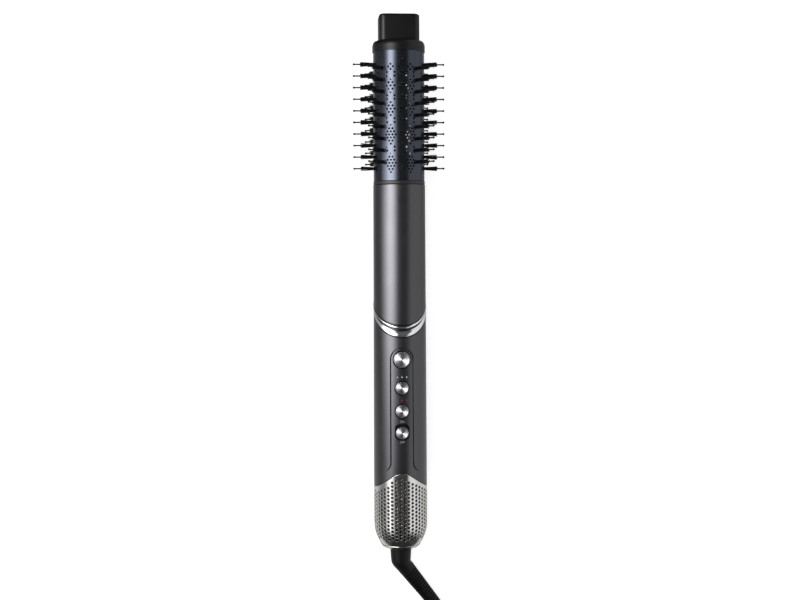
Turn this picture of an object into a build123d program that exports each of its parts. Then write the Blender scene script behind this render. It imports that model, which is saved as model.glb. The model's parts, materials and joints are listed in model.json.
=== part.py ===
from build123d import *
import math
import os

# Hot-air styler with a removable round bristle brush, lying on its bristles and its air inlet.
#
# Each piece is modelled upright: the long axis is Z, from the inlet end (z = 0) to the cool tip,
# the controls face -Y, and X runs to the right of someone who faces the controls.
# lay_down() then turns each piece onto the table, brush end away along +Y. Millimetres.

# ---- driving dimensions -------------------------------------------------------------------

# clearances
FIT = 0.05          # radial, between pieces that are pressed or clipped together
RUN = 0.08          # radial, between pieces that turn or slide on each other
SEAM = 0.25         # open joint between two shells
REST = 0.2          # axial play of a moving piece on its seat
PAST = 5.0          # how far a cutting shape reaches beyond what it cuts

# grip shell and upper tube
GRIP_R = 20.1
GRIP_WALL = 2.2
TUBE_TAPER = 0.6            # how much slimmer the top of the tube is than the grip
TAPER_BELOW_PEAK = 11.5     # the taper starts this far below the corner of the V
PEAK_Z = 61.5               # corner of the inverted V along which shell and inlet grille meet
PEAK_SLOPE = 0.73
PEAK_ROUND = 10.5
NECK_LAP = 6.8              # how far the shell's neck reaches into the grille below the V's feet

# chrome ring between two tilted planes, and the sleeve inside it
RING_ABOVE_ARCH = 34.8      # from the centre of the panel's arch up to the lower plane, on the axis
RING_TALL = 5.7
RING_RISE = (0.75, 0.95)    # rise of the upper and the lower plane towards the back
RING_PROUD = 0.15
GROOVE_DEPTH = 0.7
GROOVE_BAND = (0.27, 0.37)  # shares of the way from the upper plane to the lower one
SLEEVE_BELOW = 26.0
SLEEVE_ABOVE = 24.0
SLEEVE_WALL = 1.1

# inlet grille
GRILLE_WALL = 0.8
GRILLE_SHOULDER_Z = 18.0
GRILLE_BOWL_IN = 2.9        # the bowl's arc passes this far inside the grip's radius
GRILLE_BOWL_Z = 8.9
GRILLE_FLOOR_IN = 8.6
GRILLE_FLOOR = 2.0
GRILLE_RIM = 2.3
FILTER_WALL = 0.5
INLET_HOLE = 3.3            # across the corners of a diamond hole
INLET_COLUMNS = 20
INLET_PITCH = 6.4
INLET_FIRST_Z = 12.5

# control panel
PANEL_HALF = 8.8
PANEL_THICK = 1.45
PANEL_GAP = 0.5
FLARE_ABOVE_PEAK = 5.3
FLARE_R = 6.9
FLARE_TURN = 72.0
PANEL_FOOT_IN = 1.8         # the panel's foot ends this far inside the grip's radius
WINDOW_HALF = 7.5
WINDOW_ABOVE_PEAK = 17.5

# controls: from the foot of the window up to the power switch, and on from one to the next
SLOT_RISE = 11.35
HEAT_RISE = 15.45
SPEED_RISE = 17.4
TOP_RISE = 21.2
TOP_BUTTON_R = 6.15
BUTTON_R = 4.85
BEZEL = 0.75
BEZEL_FIT = 0.1
BEZEL_PROUD = 0.2
BEZEL_BEHIND = 2.0          # how far it reaches behind the panel
CAP_PROUD = 0.75
CAP_THICK = 3.2
CAP_EDGE = 0.4
PRESS = 0.8                 # travel of a button
STEM_R = 1.4
STEM_IN = 0.7               # how far a stem reaches into its switch when the control is at rest
LAMP_R = 0.6
LAMP_PROUD = 0.1
LAMP_SPREAD = 3.4
LAMPS_RISE = 8.15           # from a button up to its row of lamps
SLOT = (10.8, 11.8)
SLOT_ROUND = 3.2
SLOT_WALL = 0.2
SLOT_DEPTH = 1.5
SLOT_FLOOR = 1.2
SLIDE_R = 4.7
SLIDE_BELOW = 0.9           # the knob rests this far below the middle of its slot
SLIDE_TRAVEL = 1.8
SLIDE_STEM = (3.0, 3.6)

# control board behind the panel
BOARD_DEPTH = 4.25          # from the back of the panel to the board
BOARD_THICK = 1.6
BOARD_HALF = 8.5
BOARD_ABOVE_ARCH = 5.6
SWITCH_TALL = 1.9
SWITCH_SIDE = 6.0
CONTACTS = (9.0, 11.0)
POST_R = 1.5
POST_UP = 2.0               # lower post above the foot of the board
POST_DOWN = 15.4            # upper posts below its top
POST_SIDE = 5.4
POST_DRILL = 3.0
SCREW_BITE = 2.5
SCREW_HEAD = 1.0

# motor and fan
FAN_ABOVE_NECK = 2.5
FAN_TALL = 9.0
FAN_GAP = 0.6
HUB_R = 6.0
BLADES = 7
BLADE_PITCH = 38.0
BLADE_THICK = 1.0
MOTOR_R = 12.2
MOTOR_LONG = 22.0
MOTOR_ABOVE_FAN = 2.5
MOUNT_ABOVE_MOTOR_FOOT = 3.0
MOUNT_TALL = 10.0
MOUNT_WALL = 1.15
VANES = 4
SHAFT_R = 1.0
SHAFT_END = 4.0             # below the top of the motor

# heater
SHIELD_ABOVE_SLEEVE = 3.1
SHIELD_LONG = 50.0
SHIELD_WALL = 0.6
MICA = 1.0
MICA_FOOT = 4.0
COIL_SEAT_IN = 3.9          # the ribbon's seat lies this far inside the bore
COIL_WIRE = 1.0
COIL_WIDE = 1.6
COIL_END = 9.0              # first and last turn, from the shield's ends
COIL_TURNS = 6
CUTOFF_R = 3.0
CUTOFF_LONG = 6.0

# lock ring and the spigot that carries the brush
SPIGOT_ABOVE_SHIELD = 2.0
SPIGOT_WALL = 1.5
SPIGOT_REACH = 21.5         # above the end of the tube
FLANGE_TALL = 10.5
GUARD_TALL = 4.0            # cross that guards the outlet
GUARD_THICK = 1.2
SOCKET_WALL = 2.57
SOCKET_TALL = 6.0
LOCK_PROUD = 0.2
LOCK_THICK = 2.5

# brush
BARREL_R = 19.1
BARREL_WALL = 0.9
BARREL_LONG = 95.5
COLUMNS = 8
ROWS = 10
FIRST_ROW_UP = 8.7          # from the barrel's foot
LAST_ROW_DOWN = 10.2        # from its top
TUFT_BASE_R = 1.2
TUFT_TIP_R = 1.95
TUFT_LONG = 9.9
PIN_HALF = 0.45
PIN_PROUD = 5.5
PASSAGE_GAP = 0.35
STRIP_WIDE = 5.0
STRIP_DEEP = 1.9
STRIP_END = 3.0             # beyond the last tuft
VENT_HOLE = 2.3             # across the corners of a diamond hole
VENT_GROUPS = (0.47, 2.94, 5.17, 7.17)   # in rows above the first
VENT_PAIRS = (1.7, 4.16, 6.16, 8.11)
VENT_STEP = 3.4
VENT_SPLIT = 0.75           # sideways, in steps, of the two holes in the middle of a group

# tip
COLLAR_PROUD = 0.58
COLLAR_SHOULDER = 2.28
COLLAR_TALL = 8.2
COLLAR_WALL = 1.5
TIP_SIDE = (30.1, 24.0)
TIP_ROUND = 4.75
TIP_TALL = 19.5
TIP_EDGE = 1.8
SCREW_R = 1.5
SCREW_IN = 8.0
WEB = 2.0

# cord boot and strain relief
BOOT_TOP_R = 8.2
BOOT_FOOT_R = 7.5
BOOT_LONG = 10.8
SPINDLE_R = 6.0
SPINDLE_NECK = 0.8
SPINDLE_END = 3.0
CLIP_THICK = 0.9
CLIP_WIDE = 2.0
RELIEF_HEADING = 37.0       # to the right of the long axis
RELIEF_DIP = 8.0            # towards the table
RELIEF_LONG = 54.5
RELIEF_R = (6.5, 4.55)
RIB_FROM = 9.0              # smooth as far as this
RIB_PITCH = 2.4
RIB_GAP = 1.1
RIB_DEPTH = 1.0
SPINE = 0.8                 # left standing between the gaps of the two sides
ELBOW_R = 7.3

# cord, laid on the table and wound into a coil (millimetres in the frame of the table)
CORD_D = 6.0
COIL_CENTRE = (20.7, -307.0)
COIL_LIFT = 0.8              # the coil lies on its two ties
COIL_TRACKS = (29.0, 35.0, 41.0)
LEAD_JOIN = (53.5, -282.4, 3.9)
TAIL = (                     # from the coil's centre on the table
    (-41.0, 9.8, 15.8),
    (-31.2, 26.7, 17.9),
    (-14.3, 36.5, 20.4),
    (5.3, 36.5, 22.4),
    (22.2, 26.7, 23.2),
)
TAIL_RUN = 16.8              # straight into the plug
TIE_WIDE = 7.0
TIE_THICK = 0.7
TIE_TURNS = (0.0, 180.0)
TIE_PLAY = 0.05              # between a tie and the coil
TIE_SLACK = 0.3              # on the coil's inner side

# mains plug with two round pins
PLUG_AT = (32.0, -7.0, 26.5)
PLUG_RISE = 6.0
PLUG_RELIEF = (15.0, 3.6, 5.3)
PLUG_BODY = 36.0
PLUG_END = (12.0, 12.0, 5.6)
PLUG_FACE = (35.0, 26.0, 11.0)
PIN_R = 2.4
PIN_LONG = 19.0
PIN_SPACING = 19.0
PIN_ROUND = 1.2

# ---- sizes that follow, from the inlet up to the tip ------------------------------------------

BORE_R = GRIP_R - GRIP_WALL
TUBE_TOP_R = GRIP_R - TUBE_TAPER
TAPER_FROM_Z = PEAK_Z - TAPER_BELOW_PEAK
NECK_R = GRIP_R - GRILLE_WALL - FIT
NECK_LOW_Z = PEAK_Z - PEAK_SLOPE * GRIP_R - NECK_LAP
ROUNDED_PEAK_Z = PEAK_Z - PEAK_ROUND * (math.hypot(1, PEAK_SLOPE) - 1)
GRILLE_FLOOR_R = GRIP_R - GRILLE_FLOOR_IN

FAN_R = BORE_R - FAN_GAP
FAN_LOW_Z = NECK_LOW_Z + FAN_ABOVE_NECK
FAN_TOP_Z = FAN_LOW_Z + FAN_TALL
MOTOR_LOW_Z = FAN_TOP_Z + MOTOR_ABOVE_FAN
MOTOR_TOP_Z = MOTOR_LOW_Z + MOTOR_LONG
MOUNT_LOW_Z = MOTOR_LOW_Z + MOUNT_ABOVE_MOTOR_FOOT
MOUNT_TOP_Z = MOUNT_LOW_Z + MOUNT_TALL

FLARE_TOP_Z = PEAK_Z + FLARE_ABOVE_PEAK
FOOT_HALF = GRIP_R - PANEL_FOOT_IN
PANEL_BACK_R = GRIP_R - PANEL_THICK
WINDOW_LOW_Z = PEAK_Z + WINDOW_ABOVE_PEAK
SLOT_Z = WINDOW_LOW_Z + SLOT_RISE
SLIDE_Z = SLOT_Z - SLIDE_BELOW
HEAT_Z = SLOT_Z + HEAT_RISE
SPEED_Z = HEAT_Z + SPEED_RISE
ARCH_Z = SPEED_Z + TOP_RISE
HEAT_BUTTON = (HEAT_Z, BUTTON_R)
SPEED_BUTTON = (SPEED_Z, BUTTON_R)
TOP_BUTTON = (ARCH_Z, TOP_BUTTON_R)
HEAT_LAMPS_Z = HEAT_Z + LAMPS_RISE
SPEED_LAMPS_Z = SPEED_Z + LAMPS_RISE
BOARD_FRONT = PANEL_BACK_R - BOARD_DEPTH
BOARD_BACK = BOARD_FRONT - BOARD_THICK
BOARD_LOW_Z = WINDOW_LOW_Z + REST
BOARD_TOP_Z = ARCH_Z + BOARD_ABOVE_ARCH
POSTS = (
    (0.0, BOARD_LOW_Z + POST_UP),
    (-POST_SIDE, BOARD_TOP_Z - POST_DOWN),
    (POST_SIDE, BOARD_TOP_Z - POST_DOWN),
)

RING_FOOT_Z = ARCH_Z + RING_ABOVE_ARCH
RING_TOP_Z = RING_FOOT_Z + RING_TALL
SLEEVE_Z = (RING_FOOT_Z - SLEEVE_BELOW, RING_TOP_Z + SLEEVE_ABOVE)
SHIELD_LOW_Z = SLEEVE_Z[1] + SHIELD_ABOVE_SLEEVE
SHIELD_TOP_Z = SHIELD_LOW_Z + SHIELD_LONG
COIL_SEAT_R = BORE_R - COIL_SEAT_IN
SPIGOT_LOW_Z = SHIELD_TOP_Z + SPIGOT_ABOVE_SHIELD
TUBE_TOP_Z = SPIGOT_LOW_Z + FLANGE_TALL
SPIGOT_TOP_Z = TUBE_TOP_Z + SPIGOT_REACH

LOCK_R = BARREL_R + LOCK_PROUD
LOCK_LOW_Z = TUBE_TOP_Z + REST
BARREL_IN_R = BARREL_R - BARREL_WALL
BARREL_LOW_Z = LOCK_LOW_Z + LOCK_THICK + REST / 2
BARREL_TOP_Z = BARREL_LOW_Z + BARREL_LONG
SPIGOT_R = BARREL_IN_R - FIT - SOCKET_WALL - RUN
SPIGOT_BORE_R = SPIGOT_R - SPIGOT_WALL
FIRST_ROW_Z = BARREL_LOW_Z + FIRST_ROW_UP
LAST_ROW_Z = BARREL_TOP_Z - LAST_ROW_DOWN
ROW_PITCH = (LAST_ROW_Z - FIRST_ROW_Z) / (ROWS - 1)
TUFT_OUT = BARREL_R + TUFT_LONG
PIN_OUT = TUFT_OUT + PIN_PROUD
STRIP_IN_R = BARREL_IN_R - STRIP_DEEP
STRIP_LOW_Z = BARREL_LOW_Z + SOCKET_TALL + REST
STRIP_TOP_Z = LAST_ROW_Z + STRIP_END
PLUG_SEAT_Z = STRIP_TOP_Z + REST
COLLAR_R = BARREL_R + COLLAR_PROUD
COLLAR_TOP_R = COLLAR_R - COLLAR_SHOULDER
COLLAR_TOP_Z = BARREL_TOP_Z + COLLAR_TALL
WEB_Z = BARREL_TOP_Z - WEB
TIP_TOP_Z = COLLAR_TOP_Z + TIP_TALL
COIL_TALL = 3 * CORD_D


def body_r(z):
    """Outer radius of the grip shell and the upper tube."""
    share = max(0.0, z - TAPER_FROM_Z) / (TUBE_TOP_Z - TAPER_FROM_Z)
    return GRIP_R - (GRIP_R - TUBE_TOP_R) * share


# ---- ways of making a solid -----------------------------------------------------------------


def turned(*points):
    """A solid of revolution about the long axis, from (radius, height) points."""
    return revolve(Plane.XZ * make_face(Polyline(*points, close=True)), Axis.Z)


def ring(outer, inner, low, high):
    return turned((inner, low), (outer, low), (outer, high), (inner, high))


def rod(radius, low, high):
    return Pos(0, 0, low) * Cylinder(radius, high - low, align=(Align.CENTER, Align.CENTER, Align.MIN))


def from_front(sketch, near, far):
    """A sketch drawn in (x, z), made solid from y = -near back to y = -far."""
    return extrude(Plane.XZ.offset(far) * sketch, amount=near - far)


def pill(radius, x, z, near, far):
    return from_front(Pos(x, z) * Circle(radius), near, far)


def block(wide, tall, x, z, near, far):
    return from_front(Pos(x, z) * Rectangle(wide, tall), near, far)


def around(angle, shape):
    """A piece made at the front, turned about the long axis towards +X."""
    return Rot(0, 0, angle) * shape


def below_peak(lift=0.0):
    """Everything below the inverted V, which runs straight from front to back."""
    reach = 2 * GRIP_R
    corner = PEAK_Z + lift
    low = corner - PEAK_SLOPE * reach
    corners = ((-reach, -reach), (-reach, low), (0, corner), (reach, low), (reach, -reach))
    face = make_face(Polyline(*corners, close=True))
    face = fillet(face.vertices().sort_by(Axis.Y)[-1], PEAK_ROUND)
    return extrude(Plane.XZ * face, amount=reach, both=True)


def ring_height(share, y):
    """Height of the tilted plane that lies this share of the way down the chrome ring."""
    high, foot = (at + rise * y for at, rise in zip((RING_TOP_Z, RING_FOOT_Z), RING_RISE))
    return high + (foot - high) * share


def tilted_band(upper, lower, lift=0.0):
    """The space between two tilted planes, each a share of the way down the chrome ring."""
    reach = GRIP_R + PAST
    corners = [(y, ring_height(share, y) + lift) for share in (upper, lower) for y in (-reach, reach)]
    face = make_face(Polyline(corners[0], corners[1], corners[3], corners[2], close=True))
    return extrude(Plane.YZ * face, amount=2 * GRIP_R, both=True)


def beyond_ring(share, lift, towards):
    """Everything on one side of a tilted plane, up or down as far as the height given."""
    reach = GRIP_R + PAST
    near, far = (ring_height(share, y) + lift for y in (-reach, reach))
    face = make_face(Polyline((-reach, near), (reach, far), (reach, towards), (-reach, towards), close=True))
    return extrude(Plane.YZ * face, amount=2 * GRIP_R, both=True)


def panel_outline(gap):
    """The keyhole outline of the control panel: an arch, straight sides and a flared foot."""
    half = PANEL_HALF - gap
    bend = CenterArc((PANEL_HALF + FLARE_R, FLARE_TOP_Z), FLARE_R + gap, 180, FLARE_TURN)
    low = NECK_LOW_Z
    foot_z = PEAK_Z - PEAK_SLOPE * FOOT_HALF
    right = [
        Line((half, ARCH_Z), (half, FLARE_TOP_Z)),
        bend,
        Line(bend @ 1, (FOOT_HALF - gap, foot_z)),
        Line((FOOT_HALF - gap, foot_z), (FOOT_HALF - gap, low)),
        Line((FOOT_HALF - gap, low), (0, low)),
    ]
    left = [edge.mirror(Plane.YZ) for edge in right]
    arch = ThreePointArc((-half, ARCH_Z), (0, ARCH_Z + half), (half, ARCH_Z))
    return make_face([arch] + right + left)


def window(half, low):
    return Pos(0, (low + ARCH_Z) / 2) * Rectangle(2 * half, ARCH_Z - low) + Pos(0, ARCH_Z) * Circle(half)


# ---- grip, tube and chrome ring -------------------------------------------------------------


def handle_shell():
    """Tapered grip with the neck for the grille and the pocket and window for the controls."""
    high = ring_height(1, GRIP_R) + PAST
    shell = turned(
        (BORE_R, NECK_LOW_Z),
        (GRIP_R, NECK_LOW_Z),
        (GRIP_R, TAPER_FROM_Z),
        (body_r(high), high),
        (BORE_R, high),
    )
    shell &= beyond_ring(1, -SEAM, 0)
    bared = ring(GRIP_R + PAST, NECK_R, NECK_LOW_Z - PAST, PEAK_Z + PAST) & below_peak(SEAM / 2)
    pocket = from_front(panel_outline(0), GRIP_R + PAST, 0)
    pocket &= ring(GRIP_R + PAST, PANEL_BACK_R - FIT, NECK_LOW_Z - PAST, ARCH_Z + PANEL_HALF + PAST)
    opening = from_front(window(WINDOW_HALF, WINDOW_LOW_Z), GRIP_R, BORE_R / 2)
    return shell - bared - pocket - opening


def control_panel():
    """Panel flush with the grip, with holes for the controls and three posts for the board."""
    high = ARCH_Z + PANEL_HALF + PAST
    plate = turned(
        (PANEL_BACK_R, NECK_LOW_Z),
        (GRIP_R, NECK_LOW_Z),
        (GRIP_R, TAPER_FROM_Z),
        (body_r(high), high),
        (PANEL_BACK_R, high),
    )
    plate &= from_front(panel_outline(PANEL_GAP), GRIP_R + PAST, 0)
    plate -= below_peak(SEAM / 2)
    for z, radius in (TOP_BUTTON, SPEED_BUTTON, HEAT_BUTTON):
        plate -= pill(radius + BEZEL_FIT + BEZEL + FIT, 0, z, GRIP_R + PAST, BOARD_FRONT)
    for z in (SPEED_LAMPS_Z, HEAT_LAMPS_Z):
        for x in (-LAMP_SPREAD, 0, LAMP_SPREAD):
            plate -= pill(LAMP_R + FIT, x, z, GRIP_R + PAST, BOARD_FRONT)
    plate -= from_front(slot_outline(FIT), GRIP_R + PAST, BOARD_FRONT)
    for x, z in POSTS:
        plate += pill(POST_R, x, z, PANEL_BACK_R + FIT, BOARD_FRONT)
        plate -= pill(POST_R / 2 + FIT, x, z, BOARD_FRONT + POST_DRILL, BOARD_FRONT)
    return plate


def slot_outline(grow):
    wide, tall = SLOT
    return Pos(0, SLOT_Z) * RectangleRounded(wide + 2 * grow, tall + 2 * grow, SLOT_ROUND + grow)


def trim_ring():
    """Bright ring with a narrow bead above a groove and a wide band below it."""
    low, high = ring_height(1, -GRIP_R) - PAST, ring_height(0, GRIP_R) + PAST
    band = turned(
        (BORE_R, low),
        (body_r(low) + RING_PROUD, low),
        (body_r(high) + RING_PROUD, high),
        (BORE_R, high),
    )
    band &= tilted_band(0, 1)
    groove = ring(GRIP_R + PAST, body_r(low) + RING_PROUD - GROOVE_DEPTH, low, high)
    return band - (groove & tilted_band(*GROOVE_BAND))


def body_sleeve():
    """Inner sleeve that joins the grip, the chrome ring and the upper tube."""
    return ring(BORE_R - FIT, BORE_R - FIT - SLEEVE_WALL, *SLEEVE_Z)


def upper_tube():
    low = ring_height(0, -GRIP_R) - PAST
    tube = turned((BORE_R, low), (body_r(low), low), (TUBE_TOP_R, TUBE_TOP_Z), (BORE_R, TUBE_TOP_Z))
    return tube & beyond_ring(0, SEAM, TUBE_TOP_Z + PAST)


# ---- air inlet ------------------------------------------------------------------------------


def inlet_grille():
    """Perforated cup, straight above and bowl-shaped below, slipped over the shell's neck."""
    shoulder, floor = GRILLE_SHOULDER_Z, GRILLE_FLOOR
    inner_r = GRIP_R - GRILLE_WALL
    bowl_r, bowl_z = GRIP_R - GRILLE_BOWL_IN, GRILLE_BOWL_Z
    arc = ThreePointArc((GRIP_R, shoulder), (bowl_r, bowl_z), (GRILLE_FLOOR_R, 0))
    inner_arc = ThreePointArc(
        (inner_r, shoulder + GRILLE_WALL / 2),
        (bowl_r - GRILLE_WALL, bowl_z + GRILLE_WALL / 2),
        (GRILLE_FLOOR_R - GRILLE_WALL, floor),
    )
    bore = SPINDLE_R + RUN
    profile = [
        Line((GRIP_R, PEAK_Z), (GRIP_R, shoulder)),
        arc,
        Line((GRILLE_FLOOR_R, 0), (bore, 0)),
        Line((bore, 0), (bore, floor)),
        Line((bore, floor), inner_arc @ 1),
        inner_arc,
        Line(inner_arc @ 0, (inner_r, PEAK_Z)),
        Line((inner_r, PEAK_Z), (GRIP_R, PEAK_Z)),
    ]
    cup = revolve(Plane.XZ * make_face(profile), Axis.Z)
    cup &= below_peak(-SEAM / 2)
    diamond = from_front(RegularPolygon(INLET_HOLE / 2, 4), GRIP_R + PAST, GRIP_R / 2)
    holes = []
    for column in range(INLET_COLUMNS):
        angle = 360 / INLET_COLUMNS * column
        side = GRIP_R * abs(math.sin(math.radians(angle)))
        rim = min(PEAK_Z - PEAK_SLOPE * side, ROUNDED_PEAK_Z) - GRILLE_RIM - INLET_HOLE / 2
        z = INLET_FIRST_Z + (column % 2) * INLET_PITCH / 2
        while z < rim:
            holes.append(around(angle, Pos(0, 0, z) * diamond))
            z += INLET_PITCH
    return cup - holes


def intake_filter():
    """Fine screen that lines the straight part of the grille."""
    outer = GRIP_R - GRILLE_WALL - FIT
    return ring(outer, outer - FILTER_WALL, GRILLE_SHOULDER_Z + REST, NECK_LOW_Z - REST)


# ---- motor and fan --------------------------------------------------------------------------


def motor_can():
    can = rod(MOTOR_R, MOTOR_LOW_Z, MOTOR_TOP_Z)
    return can - rod(SHAFT_R + FIT, MOTOR_LOW_Z - PAST, MOTOR_TOP_Z - SHAFT_END)


def motor_mount():
    """Two rings joined by straight vanes, which hold the motor in the middle of the bore."""
    outer = ring(BORE_R - FIT, BORE_R - FIT - MOUNT_WALL, MOUNT_LOW_Z, MOUNT_TOP_Z)
    inner = ring(MOTOR_R + FIT + MOUNT_WALL, MOTOR_R + FIT, MOUNT_LOW_Z, MOUNT_TOP_Z)
    middle = (MOUNT_TOP_Z + MOUNT_LOW_Z) / 2
    ends = (BORE_R - FIT - MOUNT_WALL / 2, MOTOR_R + FIT + MOUNT_WALL / 2)
    vane = block(MOUNT_WALL, MOUNT_TALL, 0, middle, *ends)
    return outer + inner + [around(180 / VANES + 360 / VANES * n, vane) for n in range(VANES)]


def fan_impeller():
    """Axial fan: a hub with pitched blades, trimmed to a round outer edge."""
    middle = (FAN_LOW_Z + FAN_TOP_Z) / 2
    from_hub = (Align.CENTER, Align.MAX, Align.CENTER)
    blade = Rot(0, BLADE_PITCH, 0) * Box(BLADE_THICK, FAN_R, FAN_TALL, align=from_hub)
    blade = Pos(0, -HUB_R / 2, middle) * blade
    blade &= ring(FAN_R, 0.7 * HUB_R, FAN_LOW_Z, FAN_TOP_Z)
    hub = rod(HUB_R, FAN_LOW_Z, FAN_TOP_Z)
    wheel = hub + [around(360 / BLADES * n, blade) for n in range(BLADES)]
    return wheel - rod(SHAFT_R + FIT / 2, FAN_LOW_Z - PAST, FAN_TOP_Z + PAST)


def fan_shaft():
    return rod(SHAFT_R, FAN_LOW_Z - REST, MOTOR_TOP_Z - SHAFT_END - REST)


# ---- heater ---------------------------------------------------------------------------------


def heater_shield():
    return ring(BORE_R - FIT, BORE_R - FIT - SHIELD_WALL, SHIELD_LOW_Z, SHIELD_TOP_Z)


def heater_frame():
    """Cross of two mica boards, wider at both ends where it stands in the shield."""
    foot_half = BORE_R - SHIELD_WALL - 3 * FIT
    middle = (SHIELD_LOW_Z + SHIELD_TOP_Z) / 2
    outline = Pos(0, middle) * Rectangle(2 * COIL_SEAT_R, SHIELD_LONG)
    for z in (SHIELD_LOW_Z + MICA_FOOT, SHIELD_TOP_Z - MICA_FOOT):
        outline += Pos(0, z) * Rectangle(2 * foot_half, MICA_FOOT)
    board = extrude(Plane.XZ * outline, amount=MICA / 2, both=True)
    return board + around(90, board)


def heater_coil():
    """Turns of resistance ribbon that rest on the edges of the mica cross."""
    first = SHIELD_LOW_Z + COIL_END - COIL_WIDE / 2
    step = (SHIELD_LONG - 2 * COIL_END) / (COIL_TURNS - 1)
    apothem = COIL_SEAT_R + FIT
    sides = 8
    half_side = 180 / sides
    scale = 1 / math.cos(math.radians(half_side))
    band = RegularPolygon((apothem + COIL_WIRE) * scale, sides, rotation=half_side)
    band -= RegularPolygon(apothem * scale, sides, rotation=half_side)
    turn = extrude(band, amount=COIL_WIDE)
    return [Pos(0, 0, first + step * n) * turn for n in range(COIL_TURNS)]


def thermal_cutoff():
    return rod(CUTOFF_R, SHIELD_LOW_Z - CUTOFF_LONG, SHIELD_LOW_Z)


# ---- controls -------------------------------------------------------------------------------


def bezels():
    """Black rings in which the three buttons slide."""
    rings = []
    for z, radius in (TOP_BUTTON, SPEED_BUTTON, HEAT_BUTTON):
        near, far = body_r(z) + BEZEL_PROUD, PANEL_BACK_R - BEZEL_BEHIND
        whole = pill(radius + BEZEL_FIT + BEZEL, 0, z, near, far)
        rings.append(whole - pill(radius + BEZEL_FIT, 0, z, near + PAST, far - PAST))
    return rings


def button(z, radius):
    """Round cap with a stem that reaches into its switch."""
    face = body_r(z) + CAP_PROUD
    cap = pill(radius, 0, z, face, face - CAP_THICK)
    cap = fillet(cap.faces().sort_by(Axis.Y)[0].edges(), CAP_EDGE)
    stem = pill(STEM_R, 0, z, face - CAP_THICK, BOARD_FRONT + SWITCH_TALL - STEM_IN)
    return cap + stem


def lamps(z):
    """Three light pipes from the surface of the panel back to the board."""
    pipes = []
    for x in (-LAMP_SPREAD, 0, LAMP_SPREAD):
        face = math.sqrt(body_r(z) ** 2 - x * x) + LAMP_PROUD
        pipes.append(pill(LAMP_R, x, z, face, BOARD_FRONT + FIT))
    return pipes


def slide_frame():
    """Frame and floor of the recess in which the power switch slides."""
    near = body_r(SLOT_Z) - SLOT_WALL
    floor = body_r(SLOT_Z) - SLOT_DEPTH
    frame = from_front(slot_outline(0), near, floor - SLOT_FLOOR)
    frame -= from_front(slot_outline(-SLOT_WALL), near + PAST, floor)
    return frame - slide_path(near, BOARD_FRONT)


def slide_path(near, far):
    """The space that the power switch's stem sweeps, with room around it."""
    wide, tall = (side + 2 * REST for side in SLIDE_STEM)
    return block(wide, tall + SLIDE_TRAVEL, 0, SLIDE_Z + SLIDE_TRAVEL / 2, near, far)


def power_switch():
    """Round slide knob with its square stem."""
    near, far = body_r(SLOT_Z) + CAP_PROUD, body_r(SLOT_Z) - SLOT_DEPTH + RUN
    knob = pill(SLIDE_R, 0, SLIDE_Z, near, far)
    knob = fillet(knob.faces().sort_by(Axis.Y)[0].edges(), CAP_EDGE)
    return knob + block(*SLIDE_STEM, 0, SLIDE_Z, far, BOARD_FRONT + SWITCH_TALL - STEM_IN)


def slide_contacts():
    """Switch housing on the board that the slide's stem moves in."""
    middle = SLIDE_Z + SLIDE_TRAVEL / 2
    near = BOARD_FRONT + SWITCH_TALL
    housing = block(*CONTACTS, 0, middle, near, BOARD_FRONT)
    return housing - slide_path(near + PAST, near - STEM_IN - REST)


def tact_switches():
    """Three switches on the board, each with the well that takes a button's stem."""
    housings = []
    for z, _ in (TOP_BUTTON, SPEED_BUTTON, HEAT_BUTTON):
        near = BOARD_FRONT + SWITCH_TALL
        well = pill(STEM_R + RUN, 0, z, near + PAST, near - STEM_IN - PRESS - REST)
        housings.append(block(SWITCH_SIDE, SWITCH_SIDE, 0, z, near, BOARD_FRONT) - well)
    return housings


def control_board():
    tall = BOARD_TOP_Z - BOARD_LOW_Z
    board = block(2 * BOARD_HALF, tall, 0, BOARD_LOW_Z + tall / 2, BOARD_FRONT, BOARD_BACK)
    return board - [pill(POST_R / 2 + FIT, x, z, BOARD_FRONT + PAST, BOARD_BACK - PAST) for x, z in POSTS]


def board_screws():
    """Screws from behind the board into the posts of the panel."""
    screws = []
    for x, z in POSTS:
        shank = pill(POST_R / 2, x, z, BOARD_FRONT + SCREW_BITE, BOARD_BACK)
        screws.append(shank + pill(POST_R, x, z, BOARD_BACK, BOARD_BACK - SCREW_HEAD))
    return screws


# ---- outlet and lock ring -------------------------------------------------------------------


def outlet_spigot():
    """Air outlet: a flange in the upper tube and the spigot that the brush slides onto."""
    flange = ring(BORE_R - FIT, SPIGOT_BORE_R, SPIGOT_LOW_Z, TUBE_TOP_Z)
    spigot = ring(SPIGOT_R, SPIGOT_BORE_R, SPIGOT_LOW_Z, SPIGOT_TOP_Z)
    across = 2 * SPIGOT_BORE_R + SPIGOT_WALL
    bar = block(across, GUARD_TALL, 0, SPIGOT_TOP_Z - GUARD_TALL, GUARD_THICK / 2, -GUARD_THICK / 2)
    return flange + spigot + [around(turn, bar) for turn in (0, 90)]


def lock_ring():
    return ring(LOCK_R, SPIGOT_R + RUN, LOCK_LOW_Z, LOCK_LOW_Z + LOCK_THICK)


# ---- brush ----------------------------------------------------------------------------------


def row_z(row):
    return FIRST_ROW_Z + ROW_PITCH * row


def row_heights(column):
    """Ten rows on every other column, and nine between them, half a pitch higher."""
    odd = column % 2
    return [row_z(row + odd / 2) for row in range(ROWS - odd)]


def barrel_vents():
    """Heights and sideways places of the air holes between two columns of bristles."""
    spots = [(row_z(row), side) for row in VENT_PAIRS for side in (-1, 1)]
    for z in (row_z(row) for row in VENT_GROUPS):
        spots += [(z - VENT_STEP, 0), (z, -VENT_SPLIT), (z, VENT_SPLIT), (z + VENT_STEP, 0)]
    return spots


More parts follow.
